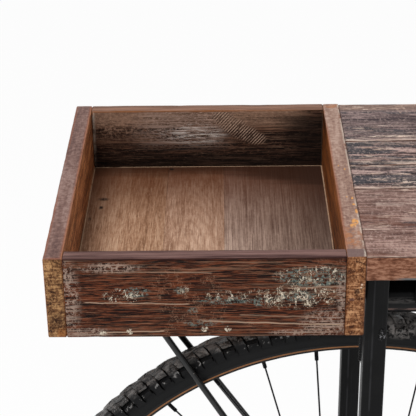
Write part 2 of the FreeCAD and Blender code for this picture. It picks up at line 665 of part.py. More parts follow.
wheel_shapes = {
    "tyre": tyre_casing().cut(tread_grooves()),
    "inner_tube": Part.makeTorus(air_tube_centre, air_tube_radius, FreeCAD.Vector(), AXLE_AXIS).cut(
        Part.makeTorus(air_tube_centre, air_tube_radius - size.air_tube_wall, FreeCAD.Vector(), AXLE_AXIS)),
    "spokes": spoke_set(),
    "nipples": nipple_set(),
    "valve": Part.makeCylinder(size.valve_radius, size.valve_length, valve_out * (valve_seat - size.valve_length),
                               valve_out),
    "bearing_balls": ball_set(),
}


# The two wheels, each about its own axle
for end, across in ENDS:
    centre = [f"{across} * axle_x", "0", "axle_height"]
    at_axle = FreeCAD.Placement(FreeCAD.Vector(across * size.axle_x, 0, size.axle_height), FreeCAD.Rotation())
    for name, shape in wheel_shapes.items():
        keep(f"{end}_{name}", shaped(f"{end}_{name}_shape", shape, at_axle))

    rim_ring = turned(f"{end}_rim_ring", rim_half)
    place(rim_ring, centre)
    rim_hole_tool = shaped(f"{end}_rim_holes", rim_holes, at_axle)
    keep(f"{end}_rim", cut(f"{end}_rim_drilled", rim_ring, rim_hole_tool))

    tape_inside = "rim_bed_radius + rim_wall + rim_tape_lift"
    tape = ring(f"{end}_tape", f"{tape_inside} + rim_tape_thickness", tape_inside, "2 * rim_tape_half_width",
                [centre[0], "-rim_tape_half_width", centre[2]], "y")
    keep(f"{end}_rim_tape", cut(f"{end}_tape_drilled", tape, rim_hole_tool))

    shell = turned(f"{end}_hub_body", hub_half)
    place(shell, centre)
    keep(f"{end}_hub_shell", cut(f"{end}_hub_drilled", shell, shaped(f"{end}_flange_holes", flange_holes, at_axle)))

    caps = []
    for side, sign in SIDES:
        cap_y = "hub_half_width - dust_cap_thickness" if sign > 0 else "-hub_half_width"
        caps.append(ring(f"{end}_{side}_cap_ring", "cup_radius", "cone_radius + running_gap", "dust_cap_thickness",
                         [centre[0], cap_y, centre[2]], "y"))
    keep(f"{end}_dust_caps", group(f"{end}_cap_set", caps))


# Axles and what is threaded on them, alike at both ends
def outwards(sign, start, length):
    """Where a piece begins along the axle when it lies from `start` outwards, on one side of the wheel."""
    return start if sign > 0 else f"-({start}) - ({length})"


def nut(name, height, point):
    prism = doc.addObject("Part::Prism", name + "_blank")
    prism.Polygon = HEX
    bind(prism, "Circumradius", f"nut_flats / 2 / cos({180 / HEX})")
    bind(prism, "Height", height)
    prism.Placement.Rotation = ALONG["y"]
    place(prism, point)
    bore = rod(name + "_bore", "axle_radius", f"{height} + 2 * overrun",
               [point[0], f"{point[1]} - overrun", point[2]], "y")
    return cut(name, prism, bore)


axles, cones, lock_nuts, sleeves, washers, axle_nuts = [], [], [], [], [], []
for end, across in ENDS:
    x = f"{across} * axle_x"
    axles.append(rod(f"{end}_axle", "axle_radius", "2 * axle_half", [x, "-axle_half", "axle_height"], "y"))
    for side, sign in SIDES:
        name = f"{end}_{side}"

        def on_axle(start, length):
            return [x, outwards(sign, start, length), "axle_height"]

        nose = rod(f"{name}_nose", "cone_radius", "cone_nose", on_axle("cone_face - cone_nose", "cone_nose"), "y")
        collar = rod(f"{name}_collar", "cone_radius + cone_collar", "cone_collar_height",
                     on_axle("cone_face", "cone_collar_height"), "y")
        bore_length = "cone_nose + cone_collar_height + 2 * overrun"
        bore = rod(f"{name}_cone_bore", "axle_radius", bore_length,
                   on_axle("cone_face - cone_nose - overrun", bore_length), "y")
        cones.append(cut(f"{name}_cone", fuse(f"{name}_cone_blank", [nose, collar]), bore))
        lock_nuts.append(nut(f"{name}_lock_nut", "lock_nut_height", on_axle("lock_face", "lock_nut_height")))
        sleeve_length = "(post_gap / 2 - sleeve_face)"
        sleeves.append(ring(f"{name}_sleeve", "sleeve_radius", "axle_radius", sleeve_length,
                            on_axle("sleeve_face", sleeve_length), "y"))
        washers.append(ring(f"{name}_washer", "axle_radius + washer_flange", "axle_radius", "washer_thickness",
                            on_axle("post_face", "washer_thickness"), "y"))
        axle_nuts.append(nut(f"{name}_axle_nut", "axle_nut_height",
                             on_axle("post_face + washer_thickness", "axle_nut_height")))
for label, pieces in (("axles", axles), ("bearing_cones", cones), ("lock_nuts", lock_nuts),
                      ("axle_sleeves", sleeves), ("axle_washers", washers), ("axle_nuts", axle_nuts)):
    keep(label, group(label + "_set", pieces))


# Check every object, then write each sub-part's file
doc.recompute()
faults = [item.Label for item in doc.Objects if "Invalid" in item.State or "Error" in item.State]
faults += [piece.Label for piece in nodes if piece.Shape.isNull() or not piece.Shape.isValid()]
if faults:
    raise RuntimeError("these did not build: " + ", ".join(faults))
os.makedirs("parts", exist_ok=True)
for piece in nodes:
    piece.Shape.exportStep(os.path.join("parts", piece.Label + ".step"))
print(len(nodes), "sub-parts,", sum(len(piece.Shape.Solids) for piece in nodes), "solids")
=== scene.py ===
"""Looks of a counter-height table: a plank top with an open tray, on two legs built round wheels."""
import math
import random

import bmesh
import bpy
from mathutils import Color, Matrix, Vector, noise


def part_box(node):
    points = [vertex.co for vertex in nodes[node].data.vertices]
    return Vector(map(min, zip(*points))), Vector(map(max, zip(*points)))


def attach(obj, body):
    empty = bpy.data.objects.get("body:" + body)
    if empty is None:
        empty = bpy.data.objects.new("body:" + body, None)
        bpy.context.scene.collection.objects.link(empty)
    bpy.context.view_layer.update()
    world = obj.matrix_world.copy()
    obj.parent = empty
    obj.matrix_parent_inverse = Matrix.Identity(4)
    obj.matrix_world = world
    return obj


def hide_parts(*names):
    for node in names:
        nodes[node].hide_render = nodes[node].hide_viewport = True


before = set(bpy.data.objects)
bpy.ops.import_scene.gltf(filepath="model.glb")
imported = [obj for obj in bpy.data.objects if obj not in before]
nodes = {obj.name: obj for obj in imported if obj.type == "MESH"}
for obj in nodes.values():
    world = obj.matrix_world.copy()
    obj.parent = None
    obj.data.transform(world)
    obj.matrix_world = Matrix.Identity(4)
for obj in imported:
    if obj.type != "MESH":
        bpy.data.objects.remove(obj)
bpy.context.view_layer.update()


# Leg frames: posts, foot bars, crown bars and rails are 20 mm steel box section with rounded corners,
# mitred and welded, then powder-coated satin black. The coat has a fine orange peel, dust on what faces
# up, rubbed streaks, and a few chips down to bright steel.
def paint(red, green, blue):
    """A colour in 0 to 255 steps, as a shader takes it."""
    return (*Color((red / 255, green / 255, blue / 255)).from_srgb_to_scene_linear(), 1)


class Value:
    """One output in a finish. An expression on values and numbers adds its Math nodes; | takes the larger of
    two and & the smaller."""

    def __init__(self, finish, socket):
        self.finish = finish
        self.socket = socket

    def math(self, operation, *values):
        return self.finish.add("ShaderNodeMath", {"operation": operation}, dict(enumerate(values)))

    def __add__(self, other):
        return self.math("ADD", self, other)

    def __sub__(self, other):
        return self.math("SUBTRACT", self, other)

    def __rsub__(self, other):
        return self.math("SUBTRACT", other, self)

    def __mul__(self, other):
        return self.math("MULTIPLY", self, other)

    def __truediv__(self, other):
        return self.math("DIVIDE", self, other)

    def __rtruediv__(self, other):
        return self.math("DIVIDE", other, self)

    def __pow__(self, other):
        return self.math("POWER", self, other)

    def __rpow__(self, other):
        return self.math("POWER", other, self)

    def __or__(self, other):
        return self.math("MAXIMUM", self, other)

    def __and__(self, other):
        return self.math("MINIMUM", self, other)

    def __abs__(self):
        return self.math("ABSOLUTE", self)

    def sine(self):
        return self.math("SINE", self)

    __radd__, __rmul__, __ror__, __rand__ = __add__, __mul__, __or__, __and__


class Finish:
    """One material. Each coat() lays a layer over the last: a colour, a roughness and a height in metres."""

    def __init__(self, name, colour, rough, **constants):
        self.material = bpy.data.materials.new(name)
        self.material.use_nodes = True
        self.tree = self.material.node_tree
        self.shader = self.tree.nodes["Principled BSDF"]
        for socket, value in constants.items():
            self.shader.inputs[socket.replace("_", " ")].default_value = value
        self.colour, self.rough, self.height, self.gloss = colour, rough, 0, 0
        self.place = self.add("ShaderNodeTexCoord", out="Object")
        self.x, self.y, self.z = self.at = self.split(self.place)
        self.facing = self.split(self.add("ShaderNodeTexCoord", out="Normal"))

    def add(self, kind, settings=None, sockets=None, out=0):
        node = self.tree.nodes.new(kind)
        for name, setting in (settings or {}).items():
            if name == "stops":
                for stop, (at, colour) in enumerate(setting):
                    if stop >= len(node.color_ramp.elements):
                        node.color_ramp.elements.new(at)
                    node.color_ramp.elements[stop].position = at
                    node.color_ramp.elements[stop].color = colour
            else:
                setattr(node, name, setting)
        for key, value in (sockets or {}).items():
            if isinstance(value, Value):
                self.tree.links.new(value.socket, node.inputs[key])
            else:
                node.inputs[key].default_value = value
        return Value(self, node.outputs[out])

    def split(self, point):
        return [self.add("ShaderNodeSeparateXYZ", {}, {"Vector": point}, axis) for axis in "XYZ"]

    def stretch(self, scale, shift=(0, 0, 0), turn=(0, 0, 0)):
        return self.add("ShaderNodeMapping", {}, {"Vector": self.place, "Scale": scale, "Location": shift,
                                                  "Rotation": turn})

    def noise(self, point, scale=1, detail=2, roughness=0.5, twist=0):
        return self.add("ShaderNodeTexNoise", {}, {"Vector": point, "Scale": scale, "Detail": detail,
                                                   "Roughness": roughness, "Distortion": twist})

    def spots(self, scale, detail=2, roughness=0.5):
        return self.noise(self.place, scale, detail, roughness)

    def streaks(self, scale, detail=2, roughness=0.5, twist=0, shift=(0, 0, 0), turn=(0, 0, 0)):
        return self.noise(self.stretch(scale, shift, turn), 1, detail, roughness, twist)

    def band(self, value, low, high):
        """0 below low, 1 above high, and an even rise between them. low may be the larger."""
        return self.add("ShaderNodeMapRange", {"interpolation_type": "SMOOTHSTEP"},
                        {"Value": value, "From Min": low, "From Max": high})

    def mix(self, under, over, share):
        return self.add("ShaderNodeMix", {"data_type": "RGBA"}, {0: share, 6: under, 7: over}, 2)

    def ramp(self, value, *stops):
        return self.add("ShaderNodeValToRGB", {"stops": stops}, {0: value})

    def coat(self, mask, colour=None, rough=None, height=None):
        if colour is not None:
            self.colour = self.mix(self.colour, colour, mask)
        if rough is not None:
            self.rough = self.rough + mask * (rough - self.rough)
        if height is not None:
            self.height = mask * height + self.height

    def close(self):
        layers = {"Base Color": self.colour, "Roughness": self.rough, "Coat Weight": self.gloss}
        for socket, value in layers.items():
            if isinstance(value, Value):
                self.tree.links.new(value.socket, self.shader.inputs[socket])
            else:
                self.shader.inputs[socket].default_value = value
        if isinstance(self.height, Value):
            bump = self.add("ShaderNodeBump", {}, {"Height": self.height, "Distance": 1, "Strength": 1})
            self.tree.links.new(bump.socket, self.shader.inputs["Normal"])
        return self.material


X, Y, Z = range(3)
DULL = 0.13


def near(finish, axes, centre, reach, soft=0.5):
    """A soft-edged patch round a place: 1 inside it, 0 past its reach. Axes and reaches go in pairs."""
    total = 0
    for axis, middle, half in zip(axes, centre, reach):
        total = ((finish.at[axis] - middle) / half) ** 2 + total
    return finish.band(total, 1, soft)


# SEAM_X is where the posts' seam runs. The rest are heights on the round tube: its painted highlight band, a
# brownish line below that, and the foot of its painted shade.
SEAM_X, TUBE_SHEEN_Z, TUBE_BROWN_LINE_Z, TUBE_SHADE_Z = 0.5216, 0.7555, 0.7445, 0.762
NEAR_CHIPS, NEAR_CHIPS_REACH = (-0.5135, -0.109, 0.7735), (0.004, 0.002, 0.0065)


def powder_coat(name, blacks=(paint(12, 12, 13), paint(22, 22, 23)), seamed=False, tube_light_and_shade=False, sheen=DULL,
                rough=0.42):
    coat = Finish(name, blacks[0], rough, Specular_IOR_Level=sheen)
    patchy = coat.spots(22, 4, 0.6)
    coat.coat(coat.band(patchy, 0.35, 0.7), blacks[1], rough + 0.08)
    coat.coat(coat.spots(850, 2), height=0.00005)
    rubbed = coat.band(coat.streaks((420, 420, 9), 3, 0.6), 0.6, 0.72)
    coat.coat(rubbed * 0.3, paint(58, 58, 60), 0.62)
    dusty = coat.band(coat.facing[Z], 0.4, 0.95) * coat.band(coat.spots(60, 5, 0.7), 0.3, 0.7)
    coat.coat(dusty * 0.5, paint(84, 79, 74), 0.8)
    chipped = coat.band(coat.spots(130, 3, 0.65), 0.735, 0.75)
    coat.coat(chipped, paint(140, 138, 135), 0.4, -0.0001)
    if seamed:
        # The posts' seam: a faint raised line down their front and back faces, drawn lighter than the coat as
        # a painted highlight.
        sides = coat.band(abs(coat.facing[Y]), 0.8, 0.95)
        seam = coat.band(abs(abs(coat.x) - SEAM_X), 0.0012, 0.0003) * sides
        coat.coat(seam * coat.band(coat.streaks((9, 9, 30), 2), 0.3, 0.5), paint(44, 44, 46),
                  height=0.0002)
        nicks = near(coat, (X, Y, Z), NEAR_CHIPS, NEAR_CHIPS_REACH) * coat.band(
            coat.spots(520, 3, 0.7), 0.56, 0.6)
        coat.coat(nicks * 0.8, paint(128, 128, 130), 0.4, -0.00008)
    # The round tube: painted shade turns its top black where the plank top keeps the light off. A grey band
    # along its front is a painted highlight, and a brownish line runs below it. Streaky noise breaks up both.
    if tube_light_and_shade:
        broken_cover = coat.band(coat.streaks((60, 300, 300), 4, 0.7), 0.36, 0.56)
        coat.coat(coat.band(coat.z, TUBE_SHADE_Z, TUBE_SHADE_Z + 0.003), paint(1, 1, 1), 0.9)
        for level, half, colour, share in ((TUBE_SHEEN_Z, 0.0045, paint(98, 95, 93), 0.8),
                                           (TUBE_BROWN_LINE_Z, 0.0022, paint(136, 112, 104), 0.75)):
            coat.coat(coat.band(abs(coat.z - level), half, half * 0.3) * broken_cover * share, colour, 0.7)
    return coat.close()


MERGED = 1e-6


def solids_of(node):
    """The box of each separate solid in a node."""
    bm = bmesh.new()
    bm.from_mesh(nodes[node].data)
    bmesh.ops.remove_doubles(bm, verts=bm.verts, dist=MERGED)
    left, boxes = set(bm.verts), []
    while left:
        found = [left.pop()]
        newest = list(found)
        while newest:
            beside = {e.other_vert(v) for v in newest for e in v.link_edges} & left
            left -= beside
            found += beside
            newest = list(beside)
        boxes.append([Vector(map(pick, zip(*[v.co for v in found]))) for pick in (min, max)])
    bm.free()
    return sorted(boxes, key=lambda box: tuple(box[0]))


def finished(name, bm, material, body, stands_for=(), sharp=math.radians(35)):
    """Makes a piece of a bmesh, in its material, riding on its body in place of CAD nodes."""
    bmesh.ops.recalc_face_normals(bm, faces=bm.faces)
    mesh = bpy.data.meshes.new(name)
    bm.to_mesh(mesh)
    bm.free()
    mesh.materials.append(material)
    mesh.shade_smooth()
    mesh.set_sharp_from_angle(angle=sharp)
    piece = bpy.data.objects.new(name, mesh)
    bpy.context.scene.collection.objects.link(piece)
    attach(piece, body)
    if stands_for:
        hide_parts(*stands_for)


def block(bm, low, high):
    made = bmesh.ops.create_cube(bm, size=1)["verts"]
    bmesh.ops.scale(bm, vec=high - low, verts=made)
    bmesh.ops.translate(bm, vec=(low + high) / 2, verts=made)


def longest(low, high):
    sides = list(high - low)
    return sides.index(max(sides))


def box_section(bm, low, high, wall, corner):
    """A hollow square tube along the longest side of its box."""
    along = longest(low, high)
    part = bmesh.new()
    block(part, low, high)
    ends = [f for f in part.faces if abs(f.normal[along]) > 0.9]
    bmesh.ops.delete(part, geom=ends, context="FACES_ONLY")
    edges = [e for e in part.edges if abs((e.verts[0].co - e.verts[1].co).normalized()[along]) > 0.9]
    bmesh.ops.bevel(part, geom=edges, offset=corner, affect="EDGES", segments=4, profile=0.5, material=-1)
    bmesh.ops.recalc_face_normals(part, faces=part.faces)
    bmesh.ops.solidify(part, geom=part.faces[:], thickness=wall)
    mesh = bpy.data.meshes.new("section")
    part.to_mesh(mesh)
    bm.from_mesh(mesh)
    bpy.data.meshes.remove(mesh)
    part.free()


TUBE_WALL, TUBE_CORNER = 0.0015, 0.0021
post_coat, black_coat = powder_coat("post_coat", seamed=True), powder_coat("powder_coat")
# A blacker copy of the coat for the bars and plates under the top: painted shade, since the top keeps the
# light off them.
painted_shade_coat = powder_coat("painted_shade_coat", (paint(3, 3, 3), paint(6, 6, 6)))
POSTS = ("left_front_post", "left_back_post", "right_front_post", "right_back_post")
RAILS = ("crown_bars", "front_top_rail", "back_top_rail", "cross_rails")
coats = {"foot_bars": black_coat, **dict.fromkeys(POSTS, post_coat), **dict.fromkeys(RAILS, painted_shade_coat)}
for node, coat in coats.items():
    bm = bmesh.new()
    for low, high in solids_of(node):
        box_section(bm, low, high, TUBE_WALL, TUBE_CORNER)
    finished(f"{node}_coated", bm, coat, "frame", [node])


# Welds: short runs of weld all round where a bar meets a post and where the round tube meets a crown bar,
# rippled as the welder's hand left them, and coated black with the frame.
WELD_RADIUS, WELD_RIPPLE, SWOLLEN, NARROWED = 0.0021, 0.0026, (0.95, 1.2), (0.72, 0.85)
RIPPLE_SEED = 7
ripples = random.Random(RIPPLE_SEED)


def weld_run(bm, start, end, radius=WELD_RADIUS):
    """A ridge between two points, swelling and narrowing at each ripple."""
    run = end - start
    turn = Matrix.Translation(start) @ run.to_track_quat("Z", "Y").to_matrix().to_4x4()
    ring = bmesh.ops.create_circle(bm, cap_ends=True, segments=7, radius=radius, matrix=turn)["verts"]
    tip = ring[0].link_faces[0]
    steps = max(3, round(run.length / WELD_RIPPLE)) * 2
    for step in range(1, steps + 1):
        made = bmesh.ops.extrude_face_region(bm, geom=[tip])["geom"]
        tip = next(part for part in made if isinstance(part, bmesh.types.BMFace))
        middle = start + run * (step / steps)
        swell = ripples.uniform(*(SWOLLEN if step % 2 else NARROWED))
        for v in tip.verts:
            v.co += run / steps
            v.co = middle + (v.co - middle).normalized() * radius * swell


def weld_round(bm, corners):
    for start, end in zip(corners, corners[1:] + corners[:1]):
        weld_run(bm, Vector(start), Vector(end))


bm = bmesh.new()
crown_low, crown_high = (corner.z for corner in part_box("crown_bars"))
for post in POSTS:
    low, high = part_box(post)
    inner_y = low.y if low.y > 0 else high.y
    weld_round(bm, [(low.x, inner_y, crown_low), (high.x, inner_y, crown_low), (high.x, inner_y, crown_high),
                    (low.x, inner_y, crown_high)])
    for level in (low.z, high.z):
        weld_round(bm, [(low.x, low.y, level), (high.x, low.y, level), (high.x, high.y, level),
                        (low.x, high.y, level)])
tube_low, tube_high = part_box("top_tube")
TUBE_Z, TUBE_RADIUS, TUBE_INSET, TUBE_SIDES = (tube_low.z + tube_high.z) / 2, tube_high.y, 0.0006, 12
tube_turns = [math.tau * number / TUBE_SIDES for number in range(TUBE_SIDES)]
for side in (-1, 1):
    at = side * (tube_high.x - TUBE_INSET)
    weld_round(bm, [(at, TUBE_RADIUS * math.cos(turn), TUBE_Z + TUBE_RADIUS * math.sin(turn))
                    for turn in tube_turns])
SPATTER_RADIUS, ARC_WIDE, ARC_TALL, ARC_TURNS = 0.0006, 0.0026, 0.0062, (0.9, 1.6, 2.3, 3.1, 3.8, 4.4)
arc = [Vector((NEAR_CHIPS[X] + ARC_WIDE * math.cos(turn), NEAR_CHIPS[Y],
               NEAR_CHIPS[Z] + ARC_TALL * math.sin(turn))) for turn in ARC_TURNS]
for start, end in zip(arc, arc[1:]):
    weld_run(bm, start, end, SPATTER_RADIUS)
finished("frame_welds", bm, post_coat, "frame", sharp=math.radians(80))


# Round tube, stays and plates: the tube that runs from leg to leg under the top, the two stays from the axle
# up to the tray, and the small plates, tabs and sleeves between the parts. All are steel, coated black.
def dress(material, *named):
    for node in named:
        nodes[node].data.materials.clear()
        nodes[node].data.materials.append(material)


# The round tube's coat carries its painted shade and its painted highlight.
dress(powder_coat("tube_coat", tube_light_and_shade=True), "top_tube")
# The plates under the top also take the blacker coat of painted shade.
dress(painted_shade_coat, "hanger_plates", "fixing_tabs", "packing_plates")
dress(black_coat, "stay_bracket", "axle_sleeves")
stay_coat = powder_coat("stay_coat", (paint(3, 3, 3), paint(8, 8, 8)), sheen=0.5, rough=0.08)
dress(stay_coat, "front_stay", "back_stay")


# Tyres and rims: a large spoked bicycle wheel stands in each leg. The tyre is black rubber with wide blocks,
# dusty and brownish on the tread, with painted highlights on its blocks and shoulder knobs, and the rim is
# black with a thin tan line on each side wall.
low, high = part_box("left_tyre")
AXLE_HEIGHT, TYRE_RADIUS, TYRE_HALF = (low.z + high.z) / 2, (high.z - low.z) / 2, high.y
low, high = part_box("right_tyre")
AXLE_X = (low.x + high.x) / 2
BEAD_SEAT, FLANGE, CAVITY_RADIUS, CAVITY_DEPTH, CAVITY_HALF = 0.3112, 0.3173, 0.3252, 0.0106, 0.0113
CAVITY_ANGLES = range(0, 125, 20)
TREAD_PITCHES, FAR_SIDE_SHIFT = 88, 0.62
CASING_SHARES = ((0.27, 0.8), (0.39, 0.88), (0.5, 0.885), (0.62, 0.84), (0.74, 0.71), (0.83, 0.47),
                 (0.86, 0.14), (0.985, 0.06), (0.99, 0))
TREAD_SHARES = ((0.47, 0.985), (0.66, 1.0), (0.85, 0.87), (1.0, 0.53), (1.0, 0))
COLUMN_SHARES, TOP_TAPER = (-0.48, -0.05, -0.01, 0.03, 0.48), 0.04
ROW_SHARES = (0.02, 0.27, 0.5, 0.64, 0.8, 0.95)
GAP_CELLS = {(1, 2), (2, 2), (3, 2), (1, 3), (2, 3), (1, 4), (2, 4), (3, 4)}
SIPE_COLUMN, SIPE_DEPTH, CROWN_DROP = 2, 0.3, 0.2
SLANT, SLANT_REACH, BLOCK_SUNK, BLOCK_BEVEL = 0.5, 0.55, 0.0006, 0.0006


def outline(shares):
    return [(BEAD_SEAT + up * (TYRE_RADIUS - BEAD_SEAT), out * TYRE_HALF) for up, out in shares]


def along_outline(points, share):
    """The point at a share of an outline's length, counted from its last point, which is the crown."""
    points = points[::-1]
    runs = [math.dist(a, b) for a, b in zip(points, points[1:])]
    left = share * sum(runs)
    for (a, b), run in zip(zip(points, points[1:]), runs):
        if left <= run or b == points[-1]:
            return [a[i] + (b[i] - a[i]) * left / run for i in (0, 1)]
        left -= run


def turned_casing(bm, steps):
    """The casing under the tread: an outline round the outside and back along the cavity, spun."""
    outside = outline(CASING_SHARES)
    outside = [(FLANGE, outside[0][1])] + outside
    turns = [math.radians(angle) for angle in CAVITY_ANGLES]
    cavity = [(CAVITY_RADIUS + CAVITY_DEPTH * math.cos(turn), CAVITY_HALF * math.sin(turn)) for turn in turns]
    ring = outside + [(radius, -offset) for radius, offset in outside[-2::-1]]
    ring += [(radius, -offset) for radius, offset in cavity[:0:-1]] + cavity
    verts = [bm.verts.new((radius, offset, 0)) for radius, offset in ring]
    edges = [bm.edges.new(pair) for pair in zip(verts, verts[1:] + verts[:1])]
    bmesh.ops.spin(bm, geom=verts + edges, cent=(0, 0, 0), axis=(0, 1, 0), angle=math.tau, steps=steps,
                   use_merge=True, use_duplicate=False)


def tread_block(side):
    """One pitch of tread: a wide slanted block with a fine cut, its arm down the shoulder, and a knob."""
    columns, rows = len(COLUMN_SHARES) - 1, len(ROW_SHARES) - 1
    bm = bmesh.new()
    bmesh.ops.create_grid(bm, x_segments=columns, y_segments=rows, size=0.5)
    gaps = []
    for face in bm.faces:
        middle = face.calc_center_median()
        if (int((middle.x + 0.5) * columns), int((middle.y + 0.5) * rows)) in GAP_CELLS:
            gaps.append(face)
    bmesh.ops.delete(bm, geom=gaps, context="FACES")
    flat = bm.faces[:]
    raised = bmesh.ops.extrude_face_region(bm, geom=flat, use_keep_orig=True)["geom"]
    tops = {v for v in raised if isinstance(v, bmesh.types.BMVert)}
    bmesh.ops.translate(bm, vec=(0, 0, 1), verts=list(tops))
    tread, root, pitch = outline(TREAD_SHARES), outline(CASING_SHARES)[2:], math.tau / TREAD_PITCHES
    for v in bm.verts:
        column, row = round((v.co.x + 0.5) * columns), round((v.co.y + 0.5) * rows)
        reach, height = ROW_SHARES[row], v.co.z
        if height and column == SIPE_COLUMN:
            height -= SIPE_DEPTH
        elif height and column in (0, columns):
            height -= CROWN_DROP
        slant = SLANT * min(reach, SLANT_REACH)
        angle = pitch * (COLUMN_SHARES[column] * (1 - TOP_TAPER * height) + slant)
        (top_r, top_y), (low_r, low_y) = along_outline(tread, reach), along_outline(root, reach)
        radius = low_r - BLOCK_SUNK + (top_r - low_r + BLOCK_SUNK) * height
        offset = (low_y + (top_y - low_y) * height) * side
        v.co = (radius * math.cos(angle), offset, -radius * math.sin(angle))
    rims = [e for e in bm.edges if set(e.verts) <= tops and e.calc_face_angle(0) > 0.9]
    bmesh.ops.bevel(bm, geom=rims, offset=BLOCK_BEVEL, affect="EDGES", segments=2, profile=0.5, material=-1)
    for v in bm.verts:
        v.co *= min(1, TYRE_RADIUS / math.hypot(v.co.x, v.co.z))
    mesh = bpy.data.meshes.new("tread_block")
    bm.to_mesh(mesh)
    bm.free()
    return mesh


def lay_tread(bm, side, shift):
    """A block at every pitch round the casing, shifted by a share of a pitch on one side."""
    laid = tread_block(side)
    for number in range(TREAD_PITCHES):
        before = len(bm.verts)
        bm.from_mesh(laid)
        bm.verts.ensure_lookup_table()
        bmesh.ops.rotate(bm, cent=(0, 0, 0), verts=bm.verts[before:],
                         matrix=Matrix.Rotation(math.tau * (number + shift) / TREAD_PITCHES, 3, "Y"))
    bpy.data.meshes.remove(laid)


def round_axle(finish):
    """How far a point lies from its wheel's axle, and the way round it in radians."""
    across = abs(finish.x) - AXLE_X
    up = finish.z - AXLE_HEIGHT
    return (across * across + up * up) ** 0.5, up.math("ARCTAN2", up, across)


TREAD_DEPTHS, GROOVE_DEPTHS = (0.007, 0.002), (0.021, 0.014)
SHOULDER_RADII, WALL_RADII = (0.3325, 0.335), (0.3315, 0.329)
UNDER_TUBE, UNDER_TUBE_REACH = (-0.49, 0.725), (0.026, 0.03)
STREAK_ROUND, STREAK_ACROSS, STREAK_UP, WALL_RIBS = 24, 190, 210, 2600


def tyre_rubber():
    rubber = Finish("tyre_rubber", paint(19, 19, 20), 0.5, Specular_IOR_Level=DULL, Coat_Roughness=0.2)
    radius, around = round_axle(rubber)
    tread = rubber.band(radius, *(TYRE_RADIUS - depth for depth in TREAD_DEPTHS))
    dirt = rubber.band(rubber.spots(60, 6, 0.76), 0.47, 0.57)
    rubber.gloss = tread * rubber.band(rubber.spots(70, 4, 0.65), 0.62, 0.42) * 0.8
    rubber.coat(tread * dirt * 0.5, paint(84, 80, 78), 0.7)
    fine_dust = rubber.band(rubber.spots(280, 4, 0.74), 0.54, 0.62)
    rubber.coat(tread * fine_dust * 0.6, paint(128, 122, 118))
    broken_cover = tread * rubber.band(rubber.facing[Z], 0.3, 0.85) * rubber.band(
        rubber.spots(110, 5, 0.72), 0.4, 0.6)
    rubber.coat(broken_cover * 0.5, paint(150, 146, 143), 0.8)
    groove = rubber.band(radius, *(TYRE_RADIUS - depth for depth in GROOVE_DEPTHS))
    # Pale dust in the grooves under the tube, laid on thicker there to lift the shade that the tube and top
    # cast: partly dust, partly painted light.
    under_tube = groove * near(rubber, (X, Z), UNDER_TUBE, UNDER_TUBE_REACH, 0.4)
    rubber.coat(under_tube * rubber.band(rubber.spots(130, 5, 0.74), 0.43, 0.56) * 0.75,
                paint(160, 154, 150), 0.8)
    rubber.gloss = rubber.gloss - rubber.gloss * broken_cover
    rolled = rubber.add("ShaderNodeCombineXYZ", {}, {0: around * STREAK_ROUND, 1: rubber.y * STREAK_ACROSS,
                                                     2: radius * STREAK_UP})
    rolled_streaks = rubber.noise(rolled, 1, 5, 0.7, 0.6)
    # Streaks rolled round the tread: dark ones of clean black rubber, and pale ones that are painted
    # highlight along the blocks.
    rubber.coat(tread * rubber.band(rolled_streaks, 0.48, 0.41) * 0.85, paint(12, 12, 13), 0.4)
    rubber.coat(tread * rubber.band(rolled_streaks, 0.54, 0.6) * 0.6, paint(136, 134, 132), 0.4)
    shoulder = rubber.band(abs(rubber.y), TYRE_HALF * 0.8, TYRE_HALF * 0.94)
    shoulder = shoulder * rubber.band(radius, *SHOULDER_RADII)
    # Pale specks on the shoulder knobs: painted highlights where the knobs catch the light.
    shoulder_glints = rubber.band(rubber.spots(190, 3, 0.7), 0.56, 0.62)
    rubber.coat(shoulder * shoulder_glints * 0.85, paint(150, 148, 146), 0.5)
    rubber.coat(rubber.spots(120, 4, 0.7) * tread, height=0.0012)
    rubber.coat(rubber.spots(700, 3, 0.6), height=0.0001)
    wall = rubber.band(radius, *WALL_RADII)
    rubber.coat(wall * rubber.band((radius * WALL_RIBS).sine(), 0.7, 1) * 0.3, height=-0.0001)
    scuffed = wall * rubber.band(rubber.spots(30, 4), 0.4, 0.7)
    rubber.coat(scuffed * 0.35, paint(30, 30, 30), 0.6)
    return rubber.close()


RIM_LINE_RADIUS, RIM_SIDE = 0.3139, (0.0122, 0.0124)


def rim_black():
    rim = Finish("rim_black", paint(20, 20, 21), 0.35, Specular_IOR_Level=DULL * 1.6)
    radius, _ = round_axle(rim)
    line = rim.band(abs(radius - RIM_LINE_RADIUS), 0.0009, 0.0006) * rim.band(abs(rim.y), *RIM_SIDE)
    rim.coat(rim.spots(600, 2), height=0.00003)
    rim.coat(line, rim.mix(paint(178, 122, 78), paint(104, 72, 48), rim.spots(90, 3)), 0.6)
    return rim.close()


rubber_finish, rim_finish = tyre_rubber(), rim_black()
for end, side in (("left", -1), ("right", 1)):
    bm = bmesh.new()
    lay_tread(bm, -1, 0)
    lay_tread(bm, 1, FAR_SIDE_SHIFT)
    turned_casing(bm, TREAD_PITCHES * 2)
    bmesh.ops.translate(bm, vec=(side * AXLE_X, 0, AXLE_HEIGHT), verts=bm.verts)
    finished(f"{end}_tyre_blocked", bm, rubber_finish, f"{end}_wheel", [f"{end}_tyre"])
    dress(rim_finish, f"{end}_rim")


# Spokes, hubs, axles and screws: blacked spokes and nipples, alloy hub shells on loose balls, turned steel
# axles with cones and lock nuts, and zinc-plated nuts, washers and screws, all a little dulled in places.
def plain_metal(name, colour, rough, dull):
    metal = Finish(name, colour, rough, Metallic=1)
    metal.coat(metal.band(metal.spots(60, 4, 0.6), 0.4, 0.7), dull, rough + 0.2)
    metal.coat(metal.spots(700, 2), height=0.00002)
    return metal.close()


